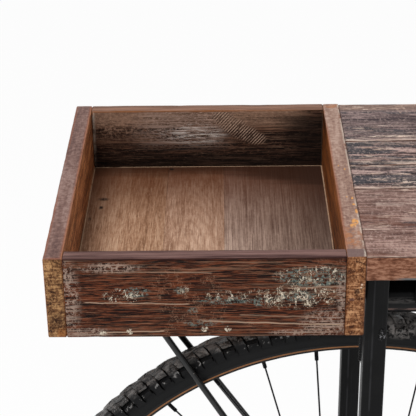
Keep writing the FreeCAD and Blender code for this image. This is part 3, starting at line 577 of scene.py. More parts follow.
blacked_wire = plain_metal("blacked_spoke_steel", paint(34, 34, 36), 0.35, paint(24, 24, 26))
blacked_nipple = plain_metal("blacked_nipple", paint(30, 30, 32), 0.4, paint(22, 22, 24))
hub_alloy = plain_metal("hub_alloy", paint(150, 150, 152), 0.35, paint(120, 120, 122))
turned_steel = plain_metal("turned_steel", paint(150, 148, 144), 0.3, paint(110, 106, 100))
polished_steel = plain_metal("polished_steel", paint(200, 200, 200), 0.12, paint(180, 180, 180))
zinc_plate = plain_metal("zinc_plate", paint(165, 165, 162), 0.35, paint(130, 128, 124))
for end in ("left", "right"):
    dress(blacked_wire, f"{end}_spokes")
    dress(blacked_nipple, f"{end}_nipples")
    dress(hub_alloy, f"{end}_hub_shell")
    dress(turned_steel, f"{end}_dust_caps")
    dress(polished_steel, f"{end}_bearing_balls")
dress(turned_steel, "axles", "bearing_cones", "lock_nuts")
dress(zinc_plate, "axle_nuts", "axle_washers", "tab_screws", "packing_screws", "bracket_screws",
      "tray_corner_screws")


# Rubber and plastic: the tape and the inner tube inside each rim, its valve, the glides under the foot bars
# and the plugs in their ends. They are moulded and matt, with a little dust.
def soft_rubber(name, colour, rough):
    soft = Finish(name, colour, rough, Specular_IOR_Level=DULL)
    soft.coat(soft.band(soft.spots(90, 4, 0.6), 0.4, 0.7) * 0.5, paint(50, 48, 46), 0.85)
    soft.coat(soft.spots(800, 2), height=0.00005)
    return soft.close()


tape_finish = soft_rubber("tape_rubber", paint(50, 48, 46), 0.7)
black_rubber = soft_rubber("black_rubber", paint(26, 26, 26), 0.7)
black_plastic = soft_rubber("black_plastic", paint(24, 24, 25), 0.5)
for end in ("left", "right"):
    dress(tape_finish, f"{end}_rim_tape")
    dress(black_rubber, f"{end}_inner_tube", f"{end}_valve")
dress(black_rubber, "foot_glides")
dress(black_plastic, "foot_end_plugs")


# Plank top: four reclaimed planks laid along the table, planed and waxed. Their old slate and cream paint is
# left in the grain, thickest along the seams, which stand open by a hair.
WOOD_SHEEN = 0.12


def timber(name, run, dark, middle, light, seed, rough=0.6, spread=0.075, twist=0.5, rings=330, lined=0.55,
           grade=1.0, short=1.0, figured=0.26, broad=0.34):
    """Sawn wood. run is the axis of its grain; figure, streaks and fibres are all stretched along it."""
    wood = Finish(name, middle, rough, Specular_IOR_Level=WOOD_SHEEN)
    shift = tuple(random.Random(seed).uniform(-9, 9) for _ in range(3))

    def grain(along, across, detail=3, roughness=0.55, twist=0.0):
        scale = [across] * 3
        scale[run] = along
        return wood.streaks(scale, detail, roughness, twist, shift)

    wood.grain = grain
    streaks = grain(15 * short, 360 * grade, 4, 0.66, twist)
    fine = grain(34 * short, 1100 * grade, 3, 0.64, 0.2)
    tone = grain(4, 38, 4, 0.6, twist) * figured + streaks * broad + fine * (1 - broad - figured)
    wood.colour = wood.ramp(tone, (0.5 - spread, dark), (0.5, middle), (0.5 + spread, light))
    contours = (grain(2.2, 24, 2, 0.5, twist) * (rings * grade)).sine()
    shown = wood.band(grain(5, 34, 3, 0.6), 0.4, 0.56)
    wood.coat(wood.band(contours, 0.5, 0.95) * shown * lined, dark, height=-0.00025)
    wood.coat(wood.band(contours, -0.8, -0.98) * shown * (lined * 0.5), light)
    threads = grain(24 * short, 950 * grade, 3, 0.7, 0.3)
    wood.coat(wood.band(threads, 0.57, 0.63) * 0.6, light)
    wood.coat(wood.band(threads, 0.42, 0.36) * 0.6, dark, height=-0.0001)
    wood.coat(streaks, height=0.0005)
    wood.coat(fine, height=0.0002)
    return wood


def from_edges(finish, low, high):
    """How far a point on a board lies from the board's nearest edge."""
    x, y, z = [(value - low[axis]) & (high[axis] - value) for axis, value in enumerate(finish.at)]
    return (x & y) | ((x | y) & z)


def facing_up(finish):
    return finish.band(finish.facing[Z], 0.4, 0.8)


def facing_front(finish):
    return finish.band(finish.facing[Y], -0.4, -0.8)


def stroke(finish, axes, start, end, half, wobble):
    """A scratch or a line of old paint between two places, a little wavy."""
    run = [b - a for a, b in zip(start, end)]
    length = math.hypot(*run)
    along, off = 0, finish.spots(75, 3) * (wobble * 2) - wobble
    for axis, origin, ahead, aside in zip(axes, start, run, (-run[1], run[0])):
        along = (finish.at[axis] - origin) * (ahead / length ** 2) + along
        off = (finish.at[axis] - origin) * (aside / length) + off
    return finish.band(abs(off), half, half * 0.4) * finish.band(abs(along - 0.5), 0.5, 0.46)


CUT_STEP, FINE_RUB, BROAD_RUB, CHIPPED = 0.008, 70, 20, 130


def worn_board(name, node, low, high, run, arris, wear, material, seed):
    """A board with rounded arrises, cut across every CUT_STEP so that its edges can be rubbed and chipped."""
    bm = bmesh.new()
    block(bm, low, high)
    bmesh.ops.bevel(bm, geom=bm.edges[:], offset=arris, affect="EDGES", segments=3, profile=0.5, material=-1)
    normal = [0, 0, 0]
    normal[run] = 1
    count = int((high[run] - low[run]) / CUT_STEP)
    for cut in range(1, count):
        at = list(low)
        at[run] += (high[run] - low[run]) * cut / count
        bmesh.ops.bisect_plane(bm, geom=bm.verts[:] + bm.edges[:] + bm.faces[:], plane_co=at, plane_no=normal)
    middle, half = (low + high) / 2, (high - low) / 2
    shift = Vector(random.Random(seed).uniform(-50, 50) for _ in range(3))
    for v in bm.verts:
        sides = [axis for axis in (X, Y, Z) if half[axis] - abs(v.co[axis] - middle[axis]) < arris * 1.05]
        if len(sides) < 2:
            continue
        rub = max(0, noise.noise(v.co * FINE_RUB + shift))
        rub += max(0, noise.noise(v.co * BROAD_RUB + shift) - 0.2)
        chip = max(0, noise.noise(v.co * CHIPPED + shift * 2) - 0.45) * 5
        for axis in sides:
            v.co[axis] -= math.copysign(wear * (rub + chip), v.co[axis] - middle[axis])
    finished(name, bm, material, "frame", [node], sharp=math.radians(30))


PLANK_ARRIS, PLANK_WEAR, SEAM_GAP = 0.0011, 0.00045, 0.0008
# The planks' mauve-grey tones are partly their own colour and partly painted sheen from above.
plank_looks = {
    "top_plank_front": (paint(82, 56, 50), paint(122, 93, 84), paint(166, 136, 126), 11, 0.6, 0.58),
    "top_plank_second": (paint(22, 15, 18), paint(100, 79, 77), paint(190, 162, 154), 12, 0.492, 0.518),
    "top_plank_third": (paint(20, 13, 16), paint(92, 70, 67), paint(178, 150, 142), 13, 0.5, 0.518),
    "top_plank_back": (paint(56, 44, 48), paint(106, 88, 86), paint(154, 132, 128), 14, 0.55, 0.565),
}
cream_blotches = {
    "top_plank_front": (((-0.513, -0.085), (0.009, 0.003)), ((-0.520, -0.101), (0.012, 0.005)),
                        ((-0.487, -0.079), (0.007, 0.002))),
    "top_plank_second": (((-0.512, -0.001), (0.007, 0.003)), ((-0.507, -0.013), (0.013, 0.003)),
                         ((-0.492, -0.0035), (0.012, 0.0022)), ((-0.488, -0.0176), (0.003, 0.0045))),
    "top_plank_third": (((-0.501, 0.0515), (0.012, 0.004)), ((-0.5155, 0.054), (0.006, 0.002)),
                        ((-0.5155, 0.0365), (0.005, 0.003)), ((-0.484, 0.062), (0.014, 0.0015))),
    "top_plank_back": (((-0.507, 0.147), (0.026, 0.004)), ((-0.481, 0.149), (0.012, 0.004)),
                       ((-0.486, 0.079), (0.035, 0.003))),
}
cream_lines = (((-0.4789, 0.1536), (-0.4746, 0.1348)), ((-0.4715, 0.1536), (-0.4677, 0.1348)))
worn_lines = (((-0.52, -0.062), (-0.45, -0.058)), ((-0.5, -0.088), (-0.455, -0.095)))
for node, (dark, middle, light, seed, slate_from, cream_from) in plank_looks.items():
    low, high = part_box(node)
    wood = timber(f"{node}_wood", X, dark, middle, light, seed, rough=0.5, spread=0.065, lined=0.35,
                  grade=0.45)
    top_face, front = facing_up(wood), facing_front(wood)
    seam = (wood.y - low.y) & (high.y - wood.y)
    slate = wood.band(wood.grain(8, 70, 6, 0.74, 0.8), slate_from, slate_from + 0.03)
    slate_shade = wood.band(wood.grain(20, 420, 3), 0.38, 0.62)
    wood.coat(slate * top_face * 0.95, wood.mix(paint(36, 40, 46), paint(80, 76, 80), slate_shade), 0.5)
    scraped = wood.streaks((360, 230, 1), 5, 0.78, 0.5, turn=(0, 0, 0.3))
    wood.coat(wood.band(scraped, 0.54, 0.6) * top_face * 0.5, wood.mix(light, paint(196, 176, 164), 0.5))
    wood.coat(wood.band(scraped, 0.46, 0.4) * top_face * 0.6, dark)
    clusters = wood.band(wood.grain(7, 26, 4, 0.65), 0.48, 0.58)
    dashes = wood.band(wood.grain(30, 420, 5, 0.74, 0.8), cream_from, cream_from + 0.04) * clusters
    edged = wood.band(seam, 0.009, 0.0006) * wood.band(wood.grain(22, 200, 5, 0.74, 0.6), 0.49, 0.54)
    cream = dashes * 0.75 | edged * 0.75
    broken = wood.band(wood.grain(90, 420, 5, 0.74, 0.8), 0.46, 0.55)
    for centre, reach in cream_blotches[node]:
        cream = cream | near(wood, (X, Y), centre, reach) * broken * 0.9
    if node == "top_plank_back":
        far_band = wood.band(wood.y, 0.138, 0.145)
        wood.coat(far_band * top_face * 0.6, paint(140, 112, 98))
        for start, end in cream_lines:
            cream = cream | stroke(wood, (X, Y), start, end, 0.0016, 0.0006) * broken
    if node == "top_plank_second":
        thick_line = wood.band(wood.y, low.y + 0.0055, low.y + 0.0035)
        thick_line = thick_line * wood.band(wood.grain(5, 60, 3, 0.6), 0.36, 0.44)
        cream = cream | thick_line * broken * 0.9
    cream_shade = wood.band(wood.grain(30, 300, 3), 0.4, 0.62)
    cream_colour = wood.mix(paint(186, 156, 140), paint(230, 208, 192), cream_shade)
    wood.coat(cream * top_face, cream_colour, 0.65, 0.00025)
    if node == "top_plank_front":
        rubbed = wood.band(wood.grain(16, 260, 5, 0.76, 0.5), 0.47, 0.56)
        for start, end in worn_lines:
            worn = stroke(wood, (X, Y), start, end, 0.0075, 0.003)
            wood.coat(worn * rubbed * top_face * 0.7, paint(196, 172, 160), 0.6)
        browned = wood.band(wood.grain(5, 26, 4, 0.65), 0.5, 0.62)
        wood.coat(browned * top_face * 0.45, paint(104, 62, 46), 0.5)
    pits = wood.band(wood.spots(420, 4, 0.7), 0.64, 0.68)
    wood.coat(pits * top_face * 0.7, paint(44, 36, 38), height=-0.0003)
    mottle = wood.grain(120, 420, 4, 0.72) * 0.7 + wood.grain(10, 50, 3) * 0.3
    # The front faces take the wood's orange-brown, without the painted sheen of the mauve-grey tops.
    wood.coat(front, wood.ramp(mottle, (0.4, paint(78, 42, 28)), (0.5, paint(124, 79, 58)),
                               (0.6, paint(168, 122, 98))), 0.6)
    upper_arris = front * wood.band(wood.z, high.z - 0.0028, high.z - 0.0012)
    upper_arris = upper_arris * wood.band(wood.grain(12, 30, 3), 0.34, 0.5)
    wood.coat(upper_arris * 0.8, paint(96, 50, 28), 0.5)
    lower_arris = wood.band(wood.z, low.z + 0.003, low.z + 0.0018) * wood.band(abs(wood.x), 0.515, 0.5)
    wood.coat(front * lower_arris, paint(104, 106, 106), 0.5)
    joint = wood.band(seam, SEAM_GAP * 1.6, SEAM_GAP * 0.7) * wood.band(wood.grain(9, 30, 3), 0.3, 0.5)
    butt = wood.band(wood.x - low.x, 0.0014, 0.0007)
    wood.coat(joint * top_face * 0.75, paint(40, 32, 32), height=-0.0003)
    wood.coat(butt * top_face * 0.3, paint(70, 46, 36), height=-0.0003)
    worn_board(f"{node}_worn", node, low, high, X, PLANK_ARRIS, PLANK_WEAR, wood.close(), seed)


# Tray, front board: old hardwood with nearly black grain, which keeps flakes of cream and grey-green paint
# and pale scratches on its face. Like the back and floor boards, it is screwed between the two side walls.
TRAY_ARRIS, TRAY_WEAR, FRONT_SEED = 0.0013, 0.0004, 21
CREAM, TEAL, WASH = paint(232, 218, 196), paint(114, 128, 121), paint(176, 136, 110)


def flakes(finish, size, narrow=1.0):
    """Small curled flakes of old paint: the level lines of a fine noise, broken up by a coarser one."""
    point = finish.stretch((size * 1.2, size, size * 0.8))
    level = abs(finish.noise(point, 1, 2, 0.6, 0.8) - 0.5)
    broken = finish.band(finish.noise(point, 0.5, 4, 0.7), 0.49, 0.55)
    return finish.band(level, 0.05 * narrow, 0.025 * narrow) * broken


def below_top(finish, high):
    """The last few millimetres below a board's upper side."""
    return finish.band(finish.z, high.z - 0.006, high.z - 0.003)


def patches(finish, axes, places, soft=0.35):
    """Several soft patches taken together."""
    total = 0
    for centre, reach in places:
        total = near(finish, axes, centre, reach, soft) | total
    return total


low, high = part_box("tray_front_board")
wood = timber("front_board_wood", X, paint(6, 2, 1), paint(43, 14, 6), paint(110, 57, 33), FRONT_SEED,
              spread=0.062, twist=1.0, rings=520, lined=0.4, short=1.9, figured=0.12, broad=0.14)
edge = from_edges(wood, low, high)
face = facing_front(wood)
cream_places = (((-0.7345, 0.8445), (0.019, 0.0085)), ((-0.6855, 0.849), (0.006, 0.0055)),
                ((-0.6768, 0.8296), (0.004, 0.004)), ((-0.594, 0.842), (0.048, 0.013)),
                ((-0.65, 0.844), (0.022, 0.006)), ((-0.578, 0.862), (0.036, 0.011)))
teal_places = (((-0.578, 0.861), (0.034, 0.011)), ((-0.651, 0.8395), (0.026, 0.0045)),
               ((-0.62, 0.838), (0.012, 0.005)), ((-0.724, 0.848), (0.013, 0.006)),
               ((-0.688, 0.8495), (0.006, 0.004)), ((-0.678, 0.83), (0.005, 0.004)),
               ((-0.59, 0.843), (0.02, 0.006)), ((-0.67, 0.818), (0.02, 0.004)))
washed_places = (((-0.784, 0.842), (0.016, 0.05)), ((-0.765, 0.809), (0.026, 0.006)),
                 ((-0.566, 0.816), (0.028, 0.018)), ((-0.745, 0.871), (0.034, 0.006)),
                 ((-0.553, 0.845), (0.007, 0.03)), ((-0.59, 0.808), (0.03, 0.004)))
scratches = (((-0.769, 0.8381), (-0.679, 0.8364), 0.0007, 0.7),
             ((-0.756, 0.8088), (-0.701, 0.8102), 0.0008, 0.75),
             ((-0.672, 0.8198), (-0.551, 0.8148), 0.0009, 0.75),
             ((-0.75, 0.8675), (-0.66, 0.866), 0.0006, 0.45),
             ((-0.64, 0.8255), (-0.575, 0.8225), 0.0007, 0.4),
             ((-0.6, 0.8505), (-0.553, 0.8525), 0.0007, 0.5))
flecks_at = ((-0.7535, 0.8081), (-0.7308, 0.8097), (-0.6487, 0.8117), (-0.6682, 0.8118))
FLECK_REACH = (0.0032, 0.0032)
washed = patches(wood, (X, Z), washed_places, 0.1)
rubbed = wood.band(wood.grain(17, 820, 4, 0.7, 0.4), 0.53, 0.58)
crossed = wood.band(wood.streaks((480, 480, 380), 5, 0.72, 0.6), 0.5, 0.56)
rubbed_zone = wood.band(wood.grain(4, 34, 3), 0.46, 0.64) | wood.band(wood.z, 0.858, 0.872) * 0.7
rubbed_zone = rubbed_zone | wood.band(wood.z, 0.818, 0.81) * 0.6
wood.coat(face * rubbed * rubbed_zone * 0.44, WASH, 0.7, 0.0002)
hairlines = wood.band(wood.grain(20, 1150, 4, 0.74, 0.5), 0.57, 0.61)
wood.coat(face * hairlines * 0.5, paint(172, 124, 96), 0.7, 0.0001)
wood.coat(face * washed * (rubbed * 0.7 | crossed * 0.7), paint(184, 158, 142), 0.7, 0.0002)
teal = wood.band(wood.streaks((330, 330, 420), 5, 0.74, 0.6), 0.49, 0.55)
wood.coat(face * teal * patches(wood, (X, Z), teal_places) * 0.75, TEAL, 0.65, 0.0002)
clusters = patches(wood, (X, Z), cream_places) * wood.band(wood.spots(130, 4, 0.7), 0.34, 0.5)
wood.coat(face * flakes(wood, 230) * clusters * 0.95, CREAM, 0.65, 0.0003)
wood.coat(face * flakes(wood, 340, 0.8) * clusters * 0.7, paint(196, 176, 150), 0.65, 0.0002)
scattered = wood.band(wood.spots(22, 2), 0.52, 0.6)
wood.coat(face * flakes(wood, 300, 0.7) * scattered * 0.35, WASH, 0.65)
for start, end, half, strength in scratches:
    wood.coat(face * stroke(wood, (X, Z), start, end, half, 0.0012) * strength, paint(190, 160, 136), 0.7)
ragged = wood.band(wood.spots(420, 3, 0.7), 0.45, 0.55)
for centre in flecks_at:
    wood.coat(face * near(wood, (X, Z), centre, FLECK_REACH) * ragged, CREAM, 0.65, 0.0003)
# The top's mauve tone is partly the wood's own colour and partly painted sheen from above.
top_colour = wood.ramp(wood.grain(8, 190, 5, 0.7), (0.38, paint(70, 46, 44)), (0.62, paint(124, 94, 88)))
wood.coat(facing_up(wood), top_colour, 0.5)
arris = wood.band(edge, 0.0024, 0.001) * face * below_top(wood, high)
wood.coat(arris * 0.85, paint(44, 18, 14), 0.5)
worn_board("tray_front_board_worn", "tray_front_board", low, high, X, TRAY_ARRIS, TRAY_WEAR, wood.close(),
           FRONT_SEED)


# Tray, back board: the same old wood. Its inside is greyed with worn paint towards the top, and painted
# shade makes it nearly black low down and at its right end. A round saw has left a run of pale slanting
# marks across it.
BACK_SEED = 22
low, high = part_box("tray_back_board")
wood = timber("back_board_wood", X, paint(7, 3, 2), paint(44, 25, 17), paint(108, 77, 60), BACK_SEED,
              rough=0.7, lined=0.5)
edge = from_edges(wood, low, high)
face = facing_front(wood)
speckle = wood.band(wood.streaks((250, 250, 330), 5, 0.74, 0.4), 0.46, 0.6)
mottled = wood.band(wood.x, -0.70, -0.745) * wood.band(wood.z, 0.838, 0.866)
wood.coat(face * mottled * speckle * 0.8, paint(150, 118, 98), 0.75, 0.00015)
streaked = wood.band(wood.grain(18, 620, 5, 0.74, 0.5), 0.47, 0.56)
fuzz = wood.band(wood.streaks((300, 300, 560), 5, 0.76, 0.5), 0.47, 0.58)
waver = wood.grain(6, 30, 4, 0.6)
upper = wood.band(wood.z + waver * 0.018, 0.866, 0.878) * wood.band(wood.x, -0.56, -0.585)
wood.coat(face * upper * (streaked * 0.35 + fuzz * 0.3 + 0.3), paint(150, 118, 98), 0.75, 0.00015)
pale = wood.band(wood.z + waver * 0.03, 0.848, 0.864) * wood.band(abs(wood.x + 0.695), 0.06, 0.02)
wood.coat(face * pale * (streaked | fuzz) * 0.75, paint(156, 132, 120), 0.75, 0.0002)
hairs = wood.band(wood.streaks((230, 230, 480), 5, 0.76, 0.6, turn=(0, 0.35, 0)), 0.55, 0.61)
wood.coat(face * hairs * 0.5, paint(112, 80, 62), 0.75, 0.0001)
white_threads = wood.band(wood.grain(30, 420, 5, 0.8, 0.8), 0.49, 0.56)
WHITEST, WHITEST_REACH = (-0.684, 0.8535), (0.042, 0.014)
whitest = near(wood, (X, Z), WHITEST, WHITEST_REACH, 0) * white_threads
wood.coat(face * whitest * 0.9, paint(212, 202, 194), 0.75)
wood.coat(face * wood.band(wood.grain(26, 620, 5, 0.76, 0.6), 0.57, 0.62) * 0.5, paint(140, 110, 90), 0.75)
SAW_PITCH, SAW_TURN = 0.0025, math.radians(-42)
sawn_places = (((-0.652, 0.872), (0.013, 0.011)), ((-0.641, 0.862), (0.016, 0.011)),
               ((-0.629, 0.854), (0.015, 0.01)), ((-0.618, 0.848), (0.012, 0.008)))
sawn = patches(wood, (X, Z), sawn_places, 0.05)
diagonal = wood.add("ShaderNodeTexWave", {"wave_type": "BANDS", "bands_direction": "X"}, {
    "Vector": wood.stretch((1, 1, 1), turn=(0, SAW_TURN, 0)), "Scale": math.pi / (10 * SAW_PITCH),
    "Distortion": 0.5, "Detail": 2, "Detail Scale": 3}, 1)
cut = wood.band(diagonal, 0.5, 0.8) * wood.band(wood.spots(130, 4, 0.7), 0.32, 0.52)
wood.coat(face * sawn * 0.5, paint(30, 17, 12), 0.7)
wood.coat(face * sawn * cut * 0.95, paint(176, 146, 126), 0.7, 0.0003)
# Painted shade in the back of the tray: the face goes near black low down and at its right end.
low_shade = wood.band(wood.z + wood.grain(4, 20, 3) * 0.02, 0.85, 0.828)
right_corner_shade = wood.band(wood.x + wood.z * 0.4, -0.262, -0.228) * wood.band(wood.z, 0.879, 0.868)
wood.coat(face * (low_shade | right_corner_shade) * 0.72, paint(9, 4, 2), 0.75)
end_joint = wood.band(wood.x, low.x + 0.0042, low.x + 0.0012) * wood.band(wood.spots(120, 3), 0.3, 0.5)
far_joint = wood.band(wood.x, high.x - 0.0012, high.x - 0.0005)
wood.coat(face * end_joint * wood.band(wood.z, 0.806, 0.87) * 0.85, paint(186, 174, 160), 0.7)
wood.coat(face * far_joint * 0.6, paint(128, 108, 92), 0.7)
# The top's mauve tone is partly the wood's own colour and partly painted sheen from above.
top_colour = wood.ramp(wood.grain(8, 190, 5, 0.7), (0.38, paint(86, 60, 48)), (0.62, paint(146, 110, 92)))
wood.coat(facing_up(wood), top_colour, 0.5)
arris = wood.band(edge, 0.0026, 0.0012) * face * below_top(wood, high)
wood.coat(arris * wood.band(wood.grain(9, 40, 3), 0.32, 0.5), paint(136, 86, 52))
worn_board("tray_back_board_worn", "tray_back_board", low, high, X, TRAY_ARRIS, TRAY_WEAR, wood.close(),
           BACK_SEED)


# Tray, side walls: two boards as deep as the table, whose grain runs from front to back, so that their front
# ends show end grain. The left one's wood is lighter. The right one's top is chipped down to bare wood.
wall_looks = {
    "tray_left_wall": {
        "grain": (paint(70, 34, 16), paint(162, 98, 60), paint(230, 158, 106)),
        "top": (paint(92, 68, 64), paint(120, 92, 84), paint(146, 120, 112)),
        "end": (paint(48, 26, 14), paint(118, 80, 50), paint(186, 142, 96)),
        "arris": 0.7, "seed": 23, "slot": "left_wall_wood"},
    "tray_right_wall": {
        "grain": (paint(40, 16, 6), paint(102, 54, 24), paint(154, 92, 48)),
        "top": (paint(120, 90, 80), paint(150, 120, 106), paint(178, 150, 136)),
        "end": (paint(68, 34, 18), paint(134, 85, 52), paint(202, 150, 108)),
        "arris": 0.25, "seed": 24, "slot": "right_wall_wood"},
}
tan_places = (((-0.544, -0.124), (0.011, 0.024)), ((-0.542, 0.151), (0.009, 0.008)))
chip_places = (((-0.5395, -0.0965), (0.0035, 0.0065)), ((-0.542, -0.1035), (0.003, 0.004)),
               ((-0.5386, -0.0523), (0.0014, 0.003)), ((-0.5378, -0.0638), (0.002, 0.002)),
               ((-0.5368, -0.078), (0.0014, 0.006)), ((-0.543, -0.05), (0.001, 0.0012)),
               ((-0.5455, 0.013), (0.001, 0.002)), ((-0.5405, 0.006), (0.001, 0.002)))
right_end_spots = (((-0.5418, 0.8465), (0.0028, 0.003), paint(58, 36, 26)),
                   ((-0.546, 0.8395), (0.003, 0.0018), paint(96, 66, 60)),
                   ((-0.5382, 0.8536), (0.0012, 0.0011), paint(238, 220, 196)),
                   ((-0.5387, 0.8509), (0.001, 0.0009), paint(226, 206, 180)))
left_end_spots = (((-0.791, 0.821), (0.01, 0.008), paint(62, 36, 22)),
                  ((-0.787, 0.807), (0.007, 0.008), paint(164, 98, 46)))
ARC_X, ARC_Z, ARC_RADIUS = -0.5447, 0.862, 0.0135
for node, looks in wall_looks.items():
    low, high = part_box(node)
    seed = looks["seed"]
    wood = timber(f"{node}_wood", Y, *looks["grain"], seed, rough=0.5, spread=0.07)
    edge = from_edges(wood, low, high)
    top_face = facing_up(wood)
    # The top's mauve tones are partly the wood's own colour and partly painted sheen from above.
    top_dark, top_middle, top_light = looks["top"]
    tone = wood.grain(7, 90, 5, 0.7) * 0.5 + wood.spots(260, 4, 0.7) * 0.5
    wood.coat(top_face, wood.ramp(tone, (0.4, top_dark), (0.5, top_middle), (0.6, top_light)), 0.45)
    red_edge = wood.band(edge, 0.0032, 0.001) * wood.band(wood.grain(10, 60, 3), 0.35, 0.55)
    wood.coat(top_face * red_edge * 0.6, paint(136, 82, 60), 0.5)
    inner_x = high.x if node == "tray_left_wall" else low.x
    inner_arris = wood.band(abs(wood.x - inner_x), 0.0014, 0.0007) * below_top(wood, high)
    inner_arris = inner_arris * wood.band(wood.grain(14, 60, 3), 0.34, 0.54)
    wood.coat(inner_arris * looks["arris"], paint(176, 118, 86), 0.5)
    if node == "tray_right_wall":
        tanned = patches(wood, (X, Y), tan_places, 0.1) * wood.band(wood.spots(170, 4, 0.7), 0.4, 0.6)
        wood.coat(top_face * tanned * 0.75, paint(166, 108, 70), 0.5)
        chips = patches(wood, (X, Y), chip_places) * wood.band(wood.spots(300, 3, 0.6), 0.36, 0.48)
        wood.coat(top_face * chips, paint(212, 152, 92), 0.6, -0.0003)
        cut_line = wood.band(wood.y, low.y + 0.0137, low.y + 0.0131)
        wood.coat(top_face * cut_line * 0.85, paint(108, 88, 86), 0.5)
        pale_edge = wood.band(high.x - wood.x, 0.003, 0.0006)
        pale_edge = pale_edge * wood.band(wood.grain(22, 60, 4, 0.7), 0.42, 0.52)
        wood.coat(top_face * pale_edge * 0.8, paint(206, 190, 176), 0.6)
    end_face = wood.band(abs(wood.facing[Y]), 0.5, 0.9)
    end_dark, end_middle, end_light = looks["end"]
    lines = wood.streaks((70, 1, 430), 4, 0.65, 0.6)
    blotch = wood.streaks((150, 1, 90), 5, 0.68, 0.8)
    end_tone = lines * 0.45 + blotch * 0.55
    wood.coat(end_face, wood.ramp(end_tone, (0.41, end_dark), (0.5, end_middle), (0.59, end_light)), 0.6)
    if node == "tray_right_wall":
        arc = abs(((wood.x - ARC_X) ** 2 + (wood.z - ARC_Z) ** 2) ** 0.5 - ARC_RADIUS)
        arc = wood.band(arc, 0.0009, 0.0004) * wood.band(wood.x, -0.546, -0.544)
        wood.coat(end_face * arc * 0.75, paint(60, 34, 22))
        for centre, reach, colour in right_end_spots:
            wood.coat(end_face * near(wood, (X, Z), centre, reach, 0.3) * 0.8, colour)
    else:
        for centre, reach, colour in left_end_spots:
            wood.coat(end_face * near(wood, (X, Z), centre, reach, 0) * 0.6, colour)
    flecks = wood.streaks((640, 1, 420), 4, 0.72, turn=(0, 0.5, 0))
    wood.coat(end_face * wood.band(flecks, 0.54, 0.62) * 0.55, end_light)
    wood.coat(end_face * wood.band(flecks, 0.46, 0.38) * 0.7, end_dark, height=-0.0001)
    wood.coat(end_face * wood.band(edge, 0.0016, 0.0006) * 0.5, paint(98, 58, 38))
    worn_board(f"{node}_worn", node, low, high, Y, TRAY_ARRIS, TRAY_WEAR, wood.close(), seed)


# Tray, floor boards: three thin boards laid from front to back between the walls, palest in the middle.
# Painted shade darkens them towards the back, towards the right and along both walls, and the middle one
# shows an arch of grain.
floor_looks = (
    (paint(118, 82, 58), paint(166, 126, 98), paint(200, 164, 136), 31, 1.6, 0.15),
    (paint(128, 92, 70), paint(176, 139, 115), paint(206, 172, 148), 32, 1.4, 0.25),
    (paint(98, 76, 66), paint(148, 122, 108), paint(184, 158, 142), 33, 0.9, 0.0),
)
FLOOR_ARRIS, FLOOR_WEAR = 0.0004, 0.0001
FLOOR_SHADE, FLOOR_SEAMS = paint(76, 35, 12), (-0.7075, -0.651)
ARCH_X, ARCH_Y, ARCH_ACROSS, ARCH_ALONG, ARCH_RINGS = -0.69, -0.075, 9, 2.4, 130
DARK_SPOT, DARK_SPOT_REACH = (-0.7045, 0.137), (0.003, 0.003)
knot_places = (((-0.7695, 0.071), (0.008, 0.0045)), ((-0.7705, 0.053), (0.0028, 0.005)),
               ((-0.7795, 0.03), (0.002, 0.004)))
floor_low, floor_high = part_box("tray_floor_boards")
starts, stops = (floor_low.x, *FLOOR_SEAMS), (*FLOOR_SEAMS, floor_high.x)
